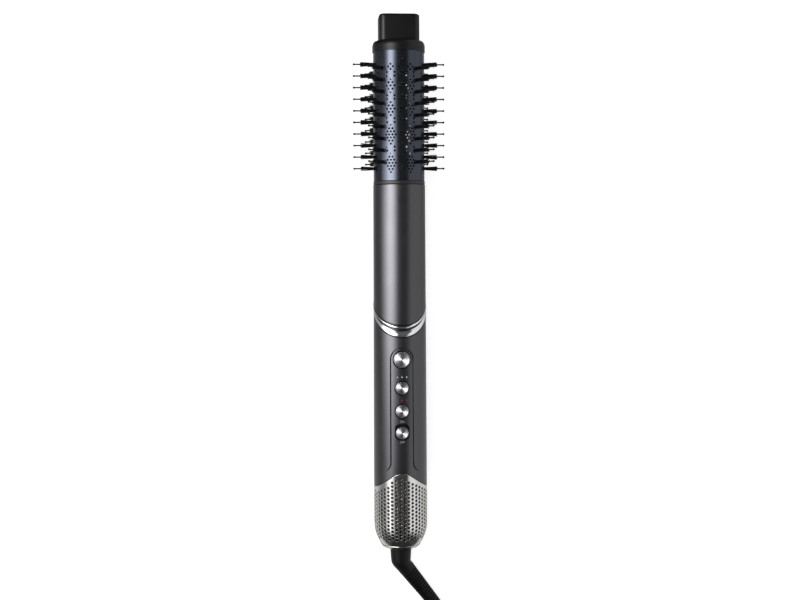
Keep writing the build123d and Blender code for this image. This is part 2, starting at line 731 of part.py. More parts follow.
def brush_barrel():
    """Thin metal barrel with a hole for each tuft and groups of air holes between them."""
    barrel = ring(BARREL_R, BARREL_IN_R, BARREL_LOW_Z, BARREL_TOP_Z)
    depth = (BARREL_R + PAST, BARREL_IN_R - PAST)
    vent = from_front(RegularPolygon(VENT_HOLE / 2, 4), *depth)
    passage = from_front(RegularPolygon(TUFT_BASE_R + PASSAGE_GAP, 6), *depth)
    spread = math.degrees(VENT_STEP / BARREL_R)
    holes = []
    for column in range(COLUMNS):
        angle = 360 / COLUMNS * column
        holes += [around(angle, Pos(0, 0, z) * passage) for z in row_heights(column)]
        between = angle + 180 / COLUMNS
        holes += [around(between + side * spread, Pos(0, 0, z) * vent) for z, side in barrel_vents()]
    return barrel - holes


def bristle_strips():
    """Moulded strips inside the barrel, each with its column of tufts and their long centre pins."""
    bar_out = math.sqrt((BARREL_IN_R - FIT) ** 2 - (STRIP_WIDE / 2) ** 2)
    root = bar_out - STRIP_DEEP / 4
    tuft = loft(
        [
            Plane.XZ.offset(root) * RegularPolygon(TUFT_BASE_R, 6),
            Plane.XZ.offset(TUFT_OUT) * RegularPolygon(TUFT_TIP_R, 6),
        ]
    )
    tuft += from_front(RegularPolygon(PIN_HALF, 4), PIN_OUT, TUFT_OUT)
    tall = STRIP_TOP_Z - STRIP_LOW_Z
    bar = block(STRIP_WIDE, tall, 0, STRIP_LOW_Z + tall / 2, bar_out, STRIP_IN_R)
    strips = []
    for column in range(COLUMNS):
        strip = bar + [Pos(0, 0, z) * tuft for z in row_heights(column)]
        strips.append(around(360 / COLUMNS * column, strip))
    return strips


def brush_socket():
    """Ring at the foot of the barrel that slides on the spigot."""
    return ring(BARREL_IN_R - FIT, SPIGOT_R + RUN, BARREL_LOW_Z, BARREL_LOW_Z + SOCKET_TALL)


def tip_collar():
    """Collar that closes the barrel, with a plug inside it and a seat for the tip."""
    shoulder_z = (BARREL_TOP_Z + COLLAR_TOP_Z) / 2
    inner_r = BARREL_IN_R - FIT
    bore = SCREW_R + 2 * FIT
    return turned(
        (bore, WEB_Z),
        (inner_r - COLLAR_WALL, WEB_Z),
        (inner_r - COLLAR_WALL, PLUG_SEAT_Z),
        (inner_r, PLUG_SEAT_Z),
        (inner_r, BARREL_TOP_Z),
        (COLLAR_R, BARREL_TOP_Z),
        (COLLAR_R, shoulder_z),
        (COLLAR_R - COLLAR_SHOULDER / 5, (shoulder_z + COLLAR_TOP_Z) / 2),
        (COLLAR_TOP_R, COLLAR_TOP_Z),
        (bore, COLLAR_TOP_Z),
    )


def cool_tip():
    """Rounded grip block on the end of the brush, which stays cool."""
    tip = extrude(Pos(0, 0, COLLAR_TOP_Z) * RectangleRounded(*TIP_SIDE, TIP_ROUND), amount=TIP_TALL)
    tip = fillet(tip.faces().sort_by(Axis.Z)[-1].edges(), TIP_EDGE)
    return tip - rod(SCREW_R + FIT / 2, COLLAR_TOP_Z - PAST, COLLAR_TOP_Z + SCREW_IN + 1)


def tip_screw():
    return rod(SCREW_R, WEB_Z, COLLAR_TOP_Z + SCREW_IN) + rod(2 * SCREW_R, WEB_Z - SCREW_R, WEB_Z)


# ---- cord boot and strain relief ------------------------------------------------------------


def cord_boot():
    """Swivelling neck below the grille, whose spindle passes through the grille's floor."""
    groove_z = GRILLE_FLOOR + REST
    return turned(
        (0, -BOOT_LONG),
        (BOOT_FOOT_R, -BOOT_LONG),
        (BOOT_TOP_R, -REST),
        (SPINDLE_R, -REST),
        (SPINDLE_R, groove_z),
        (SPINDLE_R - SPINDLE_NECK, groove_z),
        (SPINDLE_R - SPINDLE_NECK, groove_z + CLIP_THICK + FIT),
        (SPINDLE_R, groove_z + CLIP_THICK + FIT),
        (SPINDLE_R, groove_z + SPINDLE_END),
        (0, groove_z + SPINDLE_END),
    )


def swivel_clip():
    """Clip that keeps the boot's spindle in the grille."""
    low = GRILLE_FLOOR + REST
    return ring(SPINDLE_R + CLIP_WIDE, SPINDLE_R - SPINDLE_NECK + FIT, low, low + CLIP_THICK)


def relief_axis():
    """Where the strain relief starts and the way that it points, upright."""
    turn, dip = math.radians(RELIEF_HEADING), math.radians(RELIEF_DIP)
    along = Vector(math.sin(turn) * math.cos(dip), math.sin(dip), -math.cos(turn) * math.cos(dip))
    return Vector(0, 0, -BOOT_LONG - 1), along


def strain_relief():
    """Elbow and tapered sleeve that the cord leaves through, with staggered gaps on its two sides."""
    start, along = relief_axis()
    wide, narrow = RELIEF_R
    sleeve = Cone(wide, narrow, RELIEF_LONG, align=(Align.CENTER, Align.CENTER, Align.MIN))
    count = int((RELIEF_LONG - RIB_FROM) / RIB_PITCH) - 1
    one_side = (Align.MIN, Align.CENTER, Align.MIN)
    half = Pos(SPINE / 2, 0, 0) * Box(PAST + wide, 4 * wide, RIB_GAP, align=one_side)
    for side in (0, 1):
        for n in range(count):
            z = RIB_FROM + RIB_PITCH * (n + side / 2)
            core = wide + (narrow - wide) * z / RELIEF_LONG - RIB_DEPTH
            gap = Pos(0, 0, z) * (half - rod(core, -PAST, PAST))
            sleeve -= around(180 * side, gap)
    turn = math.radians(RELIEF_HEADING)
    frame = Plane(origin=start, x_dir=(math.cos(turn), 0, math.sin(turn)), z_dir=along)
    elbow = Pos(start.X, start.Y, start.Z) * Sphere(ELBOW_R)
    seat = rod(4 * ELBOW_R, -BOOT_LONG, 2 * ELBOW_R)
    return (frame * sleeve + elbow) - seat


# ---- cord, ties and plug, in the frame of the table -----------------------------------------


def round_run(points, radii):
    """A tube of the cord's section along straight runs joined by arcs."""
    path = FilletPolyline(*points, radius=radii)
    tube = sweep(Plane(origin=path @ 0, z_dir=path % 0) * Circle(CORD_D / 2), path=path)
    section = math.pi * (CORD_D / 2) ** 2
    print("tube", round(tube.volume, 1), "section x length", round(section * path.length, 1))
    return tube


def bend_radii(points):
    """For each corner, 0.45 of its shorter run over the tangent of half its turn."""
    radii = []
    for before, at, after in zip(points, points[1:], points[2:]):
        arriving = Vector(*at) - Vector(*before)
        leaving = Vector(*after) - Vector(*at)
        half_turn = math.radians(arriving.get_angle(leaving)) / 2
        radii.append(0.45 * min(arriving.length, leaving.length) / math.tan(half_turn))
    print("bend radii", [round(r, 1) for r in radii])
    return radii


def on_coil(point):
    return (COIL_CENTRE[0] + point[0], COIL_CENTRE[1] + point[1], point[2])


def cord_lead(exit_point, along):
    """From the strain relief down to the table, where it joins the coil."""
    first = exit_point + along * (3 * CORD_D)
    points = [tuple(exit_point), tuple(first), LEAD_JOIN]
    print("lead", [tuple(round(v, 2) for v in p) for p in points])
    return round_run(points, bend_radii(points))


def cord_coil():
    """Outer shape of the wound cord: three tracks wide, three layers high, two on the top."""
    inner, middle, outer = COIL_TRACKS
    half = CORD_D / 2
    low, top = COIL_LIFT, COIL_LIFT + COIL_TALL
    coil = turned(
        (inner - half, low),
        (outer + half, low),
        (outer + half, top),
        (middle - half, top),
        (middle - half, top - CORD_D),
        (inner - half, top - CORD_D),
    )
    return Pos(*COIL_CENTRE, 0) * coil


def cord_ties():
    """Two flat bands around the coil."""
    inner, _, outer = COIL_TRACKS
    low_r, high_r = inner - CORD_D / 2 - TIE_SLACK, outer + CORD_D / 2 + TIE_PLAY
    tall = COIL_LIFT + COIL_TALL + TIE_PLAY
    middle = (low_r + high_r) / 2
    wide = high_r - low_r
    corner = (Align.CENTER, Align.CENTER, Align.MIN)
    whole = Box(wide + 2 * TIE_THICK, TIE_WIDE, tall + TIE_THICK, align=corner)
    under = COIL_LIFT - TIE_PLAY
    hollow = Pos(0, 0, under) * Box(wide, 2 * TIE_WIDE, tall - under, align=corner)
    band = Pos(middle, 0, 0) * (whole - hollow)
    return [Pos(*COIL_CENTRE, 0) * Rot(0, 0, turn) * band for turn in TIE_TURNS]


def plug_frame():
    """Plane at the plug's cable end, looking along the plug towards its pins."""
    rise = math.radians(PLUG_RISE)
    return Plane(origin=on_coil(PLUG_AT), x_dir=(1, 0, 0), z_dir=(0, -math.cos(rise), math.sin(rise)))


def cord_tail():
    """From the top of the coil round to the plug."""
    frame = plug_frame()
    last = frame.origin - frame.z_dir * TAIL_RUN
    points = [on_coil(point) for point in TAIL] + [tuple(last), tuple(frame.origin)]
    print("tail", [tuple(round(v, 2) for v in p) for p in points])
    return round_run(points, bend_radii(points))


def plug_body():
    """Moulded plug that widens from its cable end to its face."""
    long, narrow, wide = PLUG_RELIEF
    sleeve = Cone(narrow, wide, long, align=(Align.CENTER, Align.CENTER, Align.MIN))
    body = loft(
        [
            Pos(0, 0, long) * RectangleRounded(*PLUG_END),
            Pos(0, 0, long + PLUG_BODY) * RectangleRounded(*PLUG_FACE),
        ],
        ruled=True,
    )
    return plug_frame() * (sleeve + body)


def plug_pins():
    base = PLUG_RELIEF[0] + PLUG_BODY
    pins = []
    for side in (-PIN_SPACING / 2, PIN_SPACING / 2):
        pin = Pos(side, 0, base) * Cylinder(PIN_R, PIN_LONG, align=(Align.CENTER, Align.CENTER, Align.MIN))
        pins.append(plug_frame() * fillet(pin.faces().sort_by(Axis.Z)[-1].edges(), PIN_ROUND))
    return pins


# ---- the assembly ---------------------------------------------------------------------------

# The styler lies on its lowest bristle pin and on the shoulder of the inlet grille.
REST_TILT = math.degrees(
    math.atan((PIN_OUT - GRIP_R) / (FIRST_ROW_Z - PIN_HALF - GRILLE_SHOULDER_Z))
)


def lay_down(shape):
    return Rot(REST_TILT - 90, 0, 0) * shape


def as_shape(made):
    return Compound(children=made) if isinstance(made, list) else made


def main():
    upright = {
        "handle_shell": handle_shell(),
        "control_panel": control_panel(),
        "trim_ring": trim_ring(),
        "body_sleeve": body_sleeve(),
        "upper_tube": upper_tube(),
        "inlet_grille": inlet_grille(),
        "intake_filter": intake_filter(),
        "motor_can": motor_can(),
        "motor_mount": motor_mount(),
        "fan_impeller": fan_impeller(),
        "fan_shaft": fan_shaft(),
        "heater_shield": heater_shield(),
        "heater_frame": heater_frame(),
        "heater_coil": heater_coil(),
        "thermal_cutoff": thermal_cutoff(),
        "button_bezels": bezels(),
        "top_button": button(*TOP_BUTTON),
        "speed_button": button(*SPEED_BUTTON),
        "heat_button": button(*HEAT_BUTTON),
        "speed_lamps": lamps(SPEED_LAMPS_Z),
        "heat_lamps": lamps(HEAT_LAMPS_Z),
        "slide_frame": slide_frame(),
        "power_switch": power_switch(),
        "slide_contacts": slide_contacts(),
        "tact_switches": tact_switches(),
        "control_board": control_board(),
        "board_screws": board_screws(),
        "outlet_spigot": outlet_spigot(),
        "lock_ring": lock_ring(),
        "brush_barrel": brush_barrel(),
        "bristle_strips": bristle_strips(),
        "brush_socket": brush_socket(),
        "tip_collar": tip_collar(),
        "cool_tip": cool_tip(),
        "tip_screw": tip_screw(),
    }
    on_cord = {
        "cord_boot": cord_boot(),
        "swivel_clip": swivel_clip(),
        "strain_relief": strain_relief(),
    }
    laid = {name: lay_down(as_shape(made)) for name, made in upright.items()}
    boxes = [shape.bounding_box() for shape in laid.values()]
    front, back = min(b.min.Y for b in boxes), max(b.max.Y for b in boxes)
    lift = -min(b.min.Z for b in boxes)
    place = Pos(0, -(front + back) / 2, lift)
    print("tilt", round(REST_TILT, 5), "shift y", round(-(front + back) / 2, 4), "z", round(lift, 4))

    nodes = {name: place * shape for name, shape in laid.items()}
    nodes |= {name: place * lay_down(as_shape(made)) for name, made in on_cord.items()}

    start, along = relief_axis()
    tip = place * (Rot(REST_TILT - 90, 0, 0) * Pos(*(start + along * RELIEF_LONG)))
    ahead = place * (Rot(REST_TILT - 90, 0, 0) * Pos(*(start + along * (RELIEF_LONG + 1))))
    nodes |= {
        "cord_lead": cord_lead(tip.position, ahead.position - tip.position),
        "cord_coil": cord_coil(),
        "cord_ties": as_shape(cord_ties()),
        "cord_tail": cord_tail(),
        "plug_body": plug_body(),
        "plug_pins": as_shape(plug_pins()),
    }

    os.makedirs("parts", exist_ok=True)
    for name, shape in nodes.items():
        export_step(shape, f"parts/{name}.step")
    print(len(nodes), "nodes")


main()
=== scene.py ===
import bpy
import json
import math
import random
from mathutils import Matrix, Vector
from mathutils.geometry import delaunay_2d_cdt

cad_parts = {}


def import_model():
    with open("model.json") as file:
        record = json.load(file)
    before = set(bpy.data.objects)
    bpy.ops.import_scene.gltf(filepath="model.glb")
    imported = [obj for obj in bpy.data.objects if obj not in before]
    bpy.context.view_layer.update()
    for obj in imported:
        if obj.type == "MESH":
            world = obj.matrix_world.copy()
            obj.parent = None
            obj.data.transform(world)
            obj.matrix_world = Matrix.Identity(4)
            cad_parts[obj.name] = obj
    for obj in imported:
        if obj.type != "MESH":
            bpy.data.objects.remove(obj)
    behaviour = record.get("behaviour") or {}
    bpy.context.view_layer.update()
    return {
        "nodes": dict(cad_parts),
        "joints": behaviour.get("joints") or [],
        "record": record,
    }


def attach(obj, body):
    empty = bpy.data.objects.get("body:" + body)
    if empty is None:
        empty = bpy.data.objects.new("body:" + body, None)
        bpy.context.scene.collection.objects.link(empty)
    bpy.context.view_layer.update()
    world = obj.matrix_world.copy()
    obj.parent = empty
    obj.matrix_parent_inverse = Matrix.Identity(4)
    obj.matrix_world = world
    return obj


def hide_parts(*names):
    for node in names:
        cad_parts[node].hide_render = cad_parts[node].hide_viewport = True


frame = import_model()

# The looks of a hot-air styler with a removable round brush.
#
# Pieces are drawn upright, in millimetres: Z runs from the air inlet to the cool tip, the controls
# face -Y, and X is to their right. UPRIGHT turns that into the frame of the table, in metres.
# Angles are degrees round the long axis, from the front towards +X.

record = frame["record"]
NODE_SLOT = {part["node"]: part["material_slot"] for part in record["subparts"]}
NODE_BODY = {node: body for body, nodes in record["behaviour"]["bodies"].items() for node in nodes}

swivel = next(joint for joint in frame["joints"] if joint["name"] == "cord_swivel")
MM = 0.001
LONG = Vector(swivel["axis"]).normalized()
ACROSS = Vector((1, 0, 0))
TURNED = Matrix((ACROSS, LONG.cross(ACROSS), LONG)).transposed()
UPRIGHT = Matrix.Translation(swivel["pos_m"]) @ TURNED.to_4x4() @ Matrix.Scale(MM, 4)


def measure(node):
    """Lowest and highest corner of a CAD node, upright and in millimetres."""
    back = UPRIGHT.inverted()
    points = [back @ vertex.co for vertex in frame["nodes"][node].data.vertices]
    return Vector(map(min, zip(*points))), Vector(map(max, zip(*points)))


# ---- sizes from the frame -----------------------------------------------------------------------

GRIP_R = measure("inlet_grille")[1].x
TUBE_TOP_Z = measure("upper_tube")[1].z
BARREL_LOW_Z, BARREL_TOP_Z = (corner.z for corner in measure("brush_barrel"))
BARREL_R = measure("brush_barrel")[1].x
LOCK_LOW_Z, LOCK_TOP_Z = (corner.z for corner in measure("lock_ring"))
LOCK_R = measure("lock_ring")[1].x
COLLAR_R, COLLAR_TOP_Z = measure("tip_collar")[1].x, measure("tip_collar")[1].z
TIP_HALF_X, TIP_HALF_Y, TIP_TOP_Z = measure("cool_tip")[1]
PIN_CLEAR = 0.07            # keeps the balls on the pins inside the box of the solids
PIN_OUT = measure("bristle_strips")[1].x - PIN_CLEAR
BOOT_LOW_Z, BOOT_TOP_R = measure("cord_boot")[0].z, measure("cord_boot")[1].x
PANEL_TOP_Z = measure("control_panel")[1].z

# ---- driving sizes, in millimetres --------------------------------------------------------------

SEAM = 0.25                 # open joint between two shells
EDGE = 0.3                  # rounding of a moulded edge
SIDES = 192                 # steps round a turned piece

# width and height between the points of a sheet
GRIP_STEP = (1.3, 4.0)
PANEL_STEP = (1.2, 2.5)
GRILLE_STEP = (1.3, 1.42)
BARREL_STEP = (1.25, 2.0)

# grip, tube and the inverted V where grip and grille meet
GRIP_WALL = 2.2
TUBE_TAPER = 0.6
TAPER_FROM_Z = 50.0
TAPER = TUBE_TAPER / (TUBE_TOP_Z - TAPER_FROM_Z)
GRIP_SPAN = (40.0, 198.0)   # heights between which the grip's sheet has points
PEAK_Z = 61.5
PEAK_SLOPE = 0.73
PEAK_ROUND = 10.5
NECK_WALL = 1.4
NECK_GAP = 0.05             # between the neck and the grille
NECK_OVER = 3.0             # how far the neck reaches beyond the peak of the V
NECK_LOW_Z = 40.03

# bright ring between two tilted planes
RING_FOOT_Z, RING_TOP_Z = 179.2, 184.9
RING_RISE = (0.75, 0.95)    # rise of the upper and the lower plane towards the back
BEAD = (0.04, 0.28)         # shares of the way from the upper plane to the lower one
BAND = (0.45, 0.91)
BAND_SLOPE = 0.45           # share of the band that slopes down to the gap
BAND_DROP = 0.6
BAND_CURVE = 1.2
BAND_FOOT = 0.15            # share of the band that rounds off at its foot
BAND_FOOT_DROP = 0.35
BAND_PROUD = 0.12
BEAD_PROUD = 0.25
BEAD_DROP = 0.7             # how far the bead falls off to both its edges
BEAD_CURVE = 2.5
GRIP_TOP = 0.97             # share of the way down the ring where the grip ends
RING_GROOVE = 0.9

# control panel and what is in it
PANEL_HALF = 8.8
PANEL_THICK = 1.45
PANEL_GAP = 0.55
PANEL_EDGE = 0.3
PANEL_SPAN = (48.0, 153.0)  # heights between which the panel's sheet has points
POCKET_OVER = 1.5           # how far the pocket's floor reaches beyond the panel
POCKET_LOW_Z = 66.0
POCKET_GAP = 0.05
ARCH_Z = PANEL_TOP_Z - PANEL_HALF + 0.5
FLARE_TOP_Z = 66.8
FLARE_R = 6.9
FLARE_TURN = 72.0
FOOT_HALF = 18.3
GROOVE_END = 0.02           # what stays of the groove on either side where it has faded away
FADE = (9.6, 13.0)          # the groove fades away between these distances from the middle
BEZEL = 0.75
BEZEL_FIT = 0.1
BEZEL_PROUD = 0.2
BEZEL_DEEP = 3.4
BEZEL_ROUND = 0.2
HOLE_GAP = 0.1              # between a control and its hole in the panel
HOLE_EDGE = 0.03
RIM_CLEAR = 0.25            # no point of the panel's sheet lies nearer to a hole than this
HOLES_SIDE = 2.0            # the holes stay this far from the panel's straight sides,
HOLES_UP = 3.0              # this far above the V
HOLES_TOP = 7.4             # and below this height above the middle of the arch
LAMP_R = 0.35
LAMP_SPREAD = 3.4
LAMP_DOME = 0.15
LAMP_DEEP = 3.0
SLOT_HALF = (5.4, 5.9)
SLOT_ROUND = 3.2
FADED_EDGE = 0.015          # rounding of the panel's edge where its groove has faded away
TURNING_PITCH = 0.34        # fine grooves turned into the metal caps
TURNING_ANGLE = 19.0
CAP_EDGE = 0.4
CAP_MIDDLE_R = 0.12
CAP_RIM = 0.15              # plain ring between the grooves and the cap's edge
CAP_DEEP = 3.2
STEM_R = 1.4
MARK_TALL = 1.5
MARK_SIZE = 1.35            # size of the type for each millimetre of a capital
MARK_AWAY = 1.8             # from the switch's recess to the middle of the word
MARK_LAYER = (0.03, -0.1)   # top and foot of a printed mark, from the surface

# air inlet
GRILLE_WALL = 0.8
GRILLE_FLOOR = 2.0
SHOULDER_Z = 18.0
BOWL = (18.3, 8.9)          # radius and height of a point on the bowl's arc
FLOOR_R = 13.0
FLOOR_BORE_R = 6.1
INLET_HOLE_R = 1.14
INLET_COLUMNS = 40
INLET_PITCH = 2.84
INLET_LOWEST_Z = 8.0
INLET_RIM = 2.3
GRILLE_CLEAR = 0.3          # no point of the grille's sheet lies nearer to its edges than this
GRILLE_EDGE = 0.08          # rounding of the holes and of the bore in the floor
SCREEN_WALL = 0.5
SCREEN_LOW_Z = 3.6
SCREEN_INSIDE = 2.0         # between the bowl's arc and the screen

# brush
COLUMNS = 8
ROWS = 10
FIRST_ROW_UP = 9.4
LAST_ROW_DOWN = 8.5
BARREL_WALL = 0.9
PASSAGE_R = 1.5
VENT_R = 0.84
VENT_PITCH = (2.87, 2.5)    # sideways, in the small and the large groups
TUFT_BASE_R = 1.2
TUFT_TIP_R = 1.9
TUFT_LONG = 9.9
TUFT_DEEP = 0.6             # below the barrel's inner face
FIRST_SEED = 40
BRISTLE_R = (0.31, 0.29)
BRISTLE_STRAY = 0.12
BRISTLE_SHORT = 0.7
SPREADING = (0.93, 1.08)
PIN_R = 0.52
PIN_BALL_R = 0.85
STRIP_HALF = 2.5
STRIP_DEEP = 1.9
STRIP_GAP = 0.05
STRIP_FOOT = 6.2
STRIP_OVER = 1.8            # how far a strip reaches beyond its last tuft
BARREL_EDGE = 0.12
BARREL_HOLE_EDGE = 0.06

# lock ring
LOCK_WALL = 2.4
LOCK_EDGE = 0.35

# painted lines on lock ring and barrel
LINE_WIDE = 0.5
LOCK_LINE_END = 0.3         # from either edge of the ring
BARREL_LINE = (0.8, 3.4)    # above the barrel's foot

# tip
COLLAR_WALL = 6.0
COLLAR_SHOULDER = 2.28
COLLAR_BANDS = (            # inwards, from and to above the barrel, rounding
    (0.0, 0.0, 1.2, 0.18),
    (0.22, 0.6, 3.2, 0.1),
    (0.06, 1.45, 2.6, 0.18),
)
COLLAR_FOOT = 2.85          # the shoulder's foot above the barrel,
COLLAR_STRAIGHT = 1.0       # and its straight part
TIP_ROUND = 4.75
TIP_EDGE = 1.8
TIP_FOOT = ((0.35, 0.0), (0.12, 0.15), (0.0, 0.5))   # inwards and up
TIP_STRAIGHT = 0.8          # where the block's straight sides start

# cord boot and strain relief
BOOT_TOP_Z = -0.2
BOOT_FOOT_R = 7.5
SPINDLE_UP = 3.2            # above the grille's floor
SPINDLE_R = 6.0
RELIEF_HEADING = 37.0
RELIEF_DIP = 8.0
RELIEF_LONG = 54.5
RELIEF_R = (6.5, 4.55)
ELBOW_LONG = 7.0
ELBOW_IN = 0.12             # the elbow starts this far inside the boot's edge
RIB_FROM = 10.0
RIB_PITCH = 2.4
RIB_GAP = 1.1
RIB_DEPTH = 1.0
RIB_SLOPE = 0.04
RIBS_END = 1.5              # plain sleeve after the last gap
ELBOW_STEPS = 12
SPINE_TURN = 9.0            # degrees on either side of the spine that stay whole

# cord
CORD_D = 6.0
COIL_CENTRE = (20.7, -307.0)
COIL_TRACKS = (29.0, 35.0, 41.0)
LAYER_Z = (3.8, 9.8, 15.8)
PLUG_RISE = 6.0


def body_r(z):
    """Outer radius of the grip and the upper tube."""
    return GRIP_R - TUBE_TAPER * max(0.0, z - TAPER_FROM_Z) / (TUBE_TOP_Z - TAPER_FROM_Z)


def spin(angle, radius, z):
    """The point at this angle from the front."""
    turn = math.radians(angle)
    return Vector((radius * math.sin(turn), -radius * math.cos(turn), z))


def blend(a, b, share):
    return a + (b - a) * share


def between(a, b, steps):
    """Values from a to b in equal steps, with both ends."""
    return [blend(a, b, k / steps) for k in range(steps + 1)]


def mirrored(points):
    """A run of points on the other side of the middle, in the opposite order."""
    return [(-u, z) for u, z in reversed(points)]


def quarter(steps):
    """Angles of a quarter turn in equal steps, in radians."""
    return [math.radians(90 / steps * k) for k in range(steps + 1)]


def soft_edge(size, steps):
    """How far inwards and down a rounded edge lies, from its top to its side."""
    return [(size * (1 - math.sin(t)), size * (1 - math.cos(t))) for t in quarter(steps)]


def middle_z(node):
    low, high = measure(node)
    return (low.z + high.z) / 2


def ease(share):
    share = min(1.0, max(0.0, share))
    return share * share * (3 - 2 * share)


# ---- shader groups and finishes -----------------------------------------------------------------


def new_group(name, inputs, outputs):
    """An empty shader group of floats, with its inputs as (name, value) and its outputs' names."""
    group = bpy.data.node_groups.new(name, "ShaderNodeTree")
    for title, value in inputs:
        socket = group.interface.new_socket(title, in_out="INPUT", socket_type="NodeSocketFloat")
        socket.default_value = value
    for title in outputs:
        group.interface.new_socket(title, in_out="OUTPUT", socket_type="NodeSocketFloat")
    return group, group.nodes.new("NodeGroupInput"), group.nodes.new("NodeGroupOutput")


def set_inputs(node, **values):
    """Sets inputs by name, with _ for the spaces in it."""
    for title, value in values.items():
        node.inputs[title.replace("_", " ")].default_value = value


def put(tree, kind, **values):
    """A new shader node with some of its inputs set."""
    node = tree.nodes.new("ShaderNode" + kind)
    set_inputs(node, **values)
    return node


def noise_node(tree, vector, detail, roughness):
    texture = put(tree, "TexNoise", Detail=detail, Roughness=roughness)
    tree.links.new(vector, texture.inputs["Vector"])
    return texture


def moulding_group():
    """Fine grain of a moulded or painted surface, with broad smudges from handling."""
    inputs = (("Grain Scale", 2500.0), ("Smudge Scale", 60.0))
    group, given, result = new_group("moulding", inputs, ("Grain", "Smudge"))
    place = put(group, "TexCoord").outputs["Object"]
    for title, detail, roughness in (("Grain", 2.0, 0.6), ("Smudge", 4.0, 0.55)):
        texture = noise_node(group, place, detail, roughness)
        group.links.new(given.outputs[title + " Scale"], texture.inputs["Scale"])
        group.links.new(texture.outputs["Fac"], result.inputs[title])
    return group


def flake_group():
    """Metal flakes in a lacquer: small cells, each with its own brightness."""
    group, given, result = new_group("flakes", (("Flake Scale", 1600.0),), ("Flake",))
    cells, apart = put(group, "TexVoronoi"), put(group, "SeparateColor")
    group.links.new(put(group, "TexCoord").outputs["Object"], cells.inputs["Vector"])
    group.links.new(given.outputs["Flake Scale"], cells.inputs["Scale"])
    group.links.new(cells.outputs["Color"], apart.inputs["Color"])
    group.links.new(apart.outputs["Red"], result.inputs["Flake"])
    return group


MOULDING = moulding_group()
FLAKES = flake_group()


def new_material(name):
    """A material with its node tree and its surface shader."""
    material = bpy.data.materials.new(name)
    material.use_nodes = True
    return material, material.node_tree, material.node_tree.nodes["Principled BSDF"]


def put_group(tree, group, **values):
    node = put(tree, "Group")
    node.node_tree = group
    set_inputs(node, **values)
    return node


def spread(tree, value, low, high):
    """Maps a value that stays about its middle onto low to high."""
    node = put(tree, "MapRange", From_Min=0.3, From_Max=0.7, To_Min=low, To_Max=high)
    tree.links.new(value, node.inputs["Value"])
    return node.outputs["Result"]


def mix_colours(tree, share, first, second):
    node = put(tree, "Mix")
    node.data_type = "RGBA"
    tree.links.new(share, node.inputs["Factor"])
    node.inputs[6].default_value = (*first, 1)
    node.inputs[7].default_value = (*second, 1)
    return node.outputs[2]


def bump(tree, height, depth):
    node = put(tree, "Bump", Strength=1.0, Distance=depth * MM)
    tree.links.new(height, node.inputs["Height"])
    return node.outputs["Normal"]


def finish(name, colour, rough, metallic=0.0, grain=(2500.0, 0.004), vary=0.12, flake=0.0, **extra):
    """A surface with grain, smudges in its roughness and a slight change of tone."""
    material, tree, shader = new_material(name)
    set_inputs(shader, Metallic=metallic, **extra)
    moulding = put_group(tree, MOULDING, Grain_Scale=grain[0])
    tree.links.new(spread(tree, moulding.outputs["Smudge"], *rough), shader.inputs["Roughness"])
    darker = tuple(c * (1 - vary) for c in colour)
    lighter = tuple(min(1.0, c * (1 + vary)) for c in colour)
    share = moulding.outputs["Smudge"]
    if flake:
        share = put_group(tree, FLAKES, Flake_Scale=flake).outputs["Flake"]
    tree.links.new(mix_colours(tree, share, darker, lighter), shader.inputs["Base Color"])
    tree.links.new(bump(tree, moulding.outputs["Grain"], grain[1]), shader.inputs["Normal"])
    return material


def lit(material, colour, strength):
    """Makes a lamp of a finish."""
    shader = material.node_tree.nodes["Principled BSDF"]
    set_inputs(shader, Emission_Color=(*colour, 1), Emission_Strength=strength)
    return material


def woven_mesh(name):
    """Fine screen: two sets of wires, as a bump."""
    material = finish(name, (0.012, 0.0115, 0.011), (0.5, 0.6), metallic=0.3)
    tree = material.node_tree
    place = put(tree, "TexCoord").outputs["Object"]
    woven = put(tree, "Math")
    woven.operation = "MAXIMUM"
    for number, direction in enumerate(("X", "Y")):
        wires = put(tree, "TexWave", Scale=320.0)
        wires.bands_direction = direction
        tree.links.new(place, wires.inputs["Vector"])
        tree.links.new(wires.outputs["Fac"], woven.inputs[number])
    tree.links.new(bump(tree, woven.outputs[0], 0.1), tree.nodes["Principled BSDF"].inputs["Normal"])
    return material


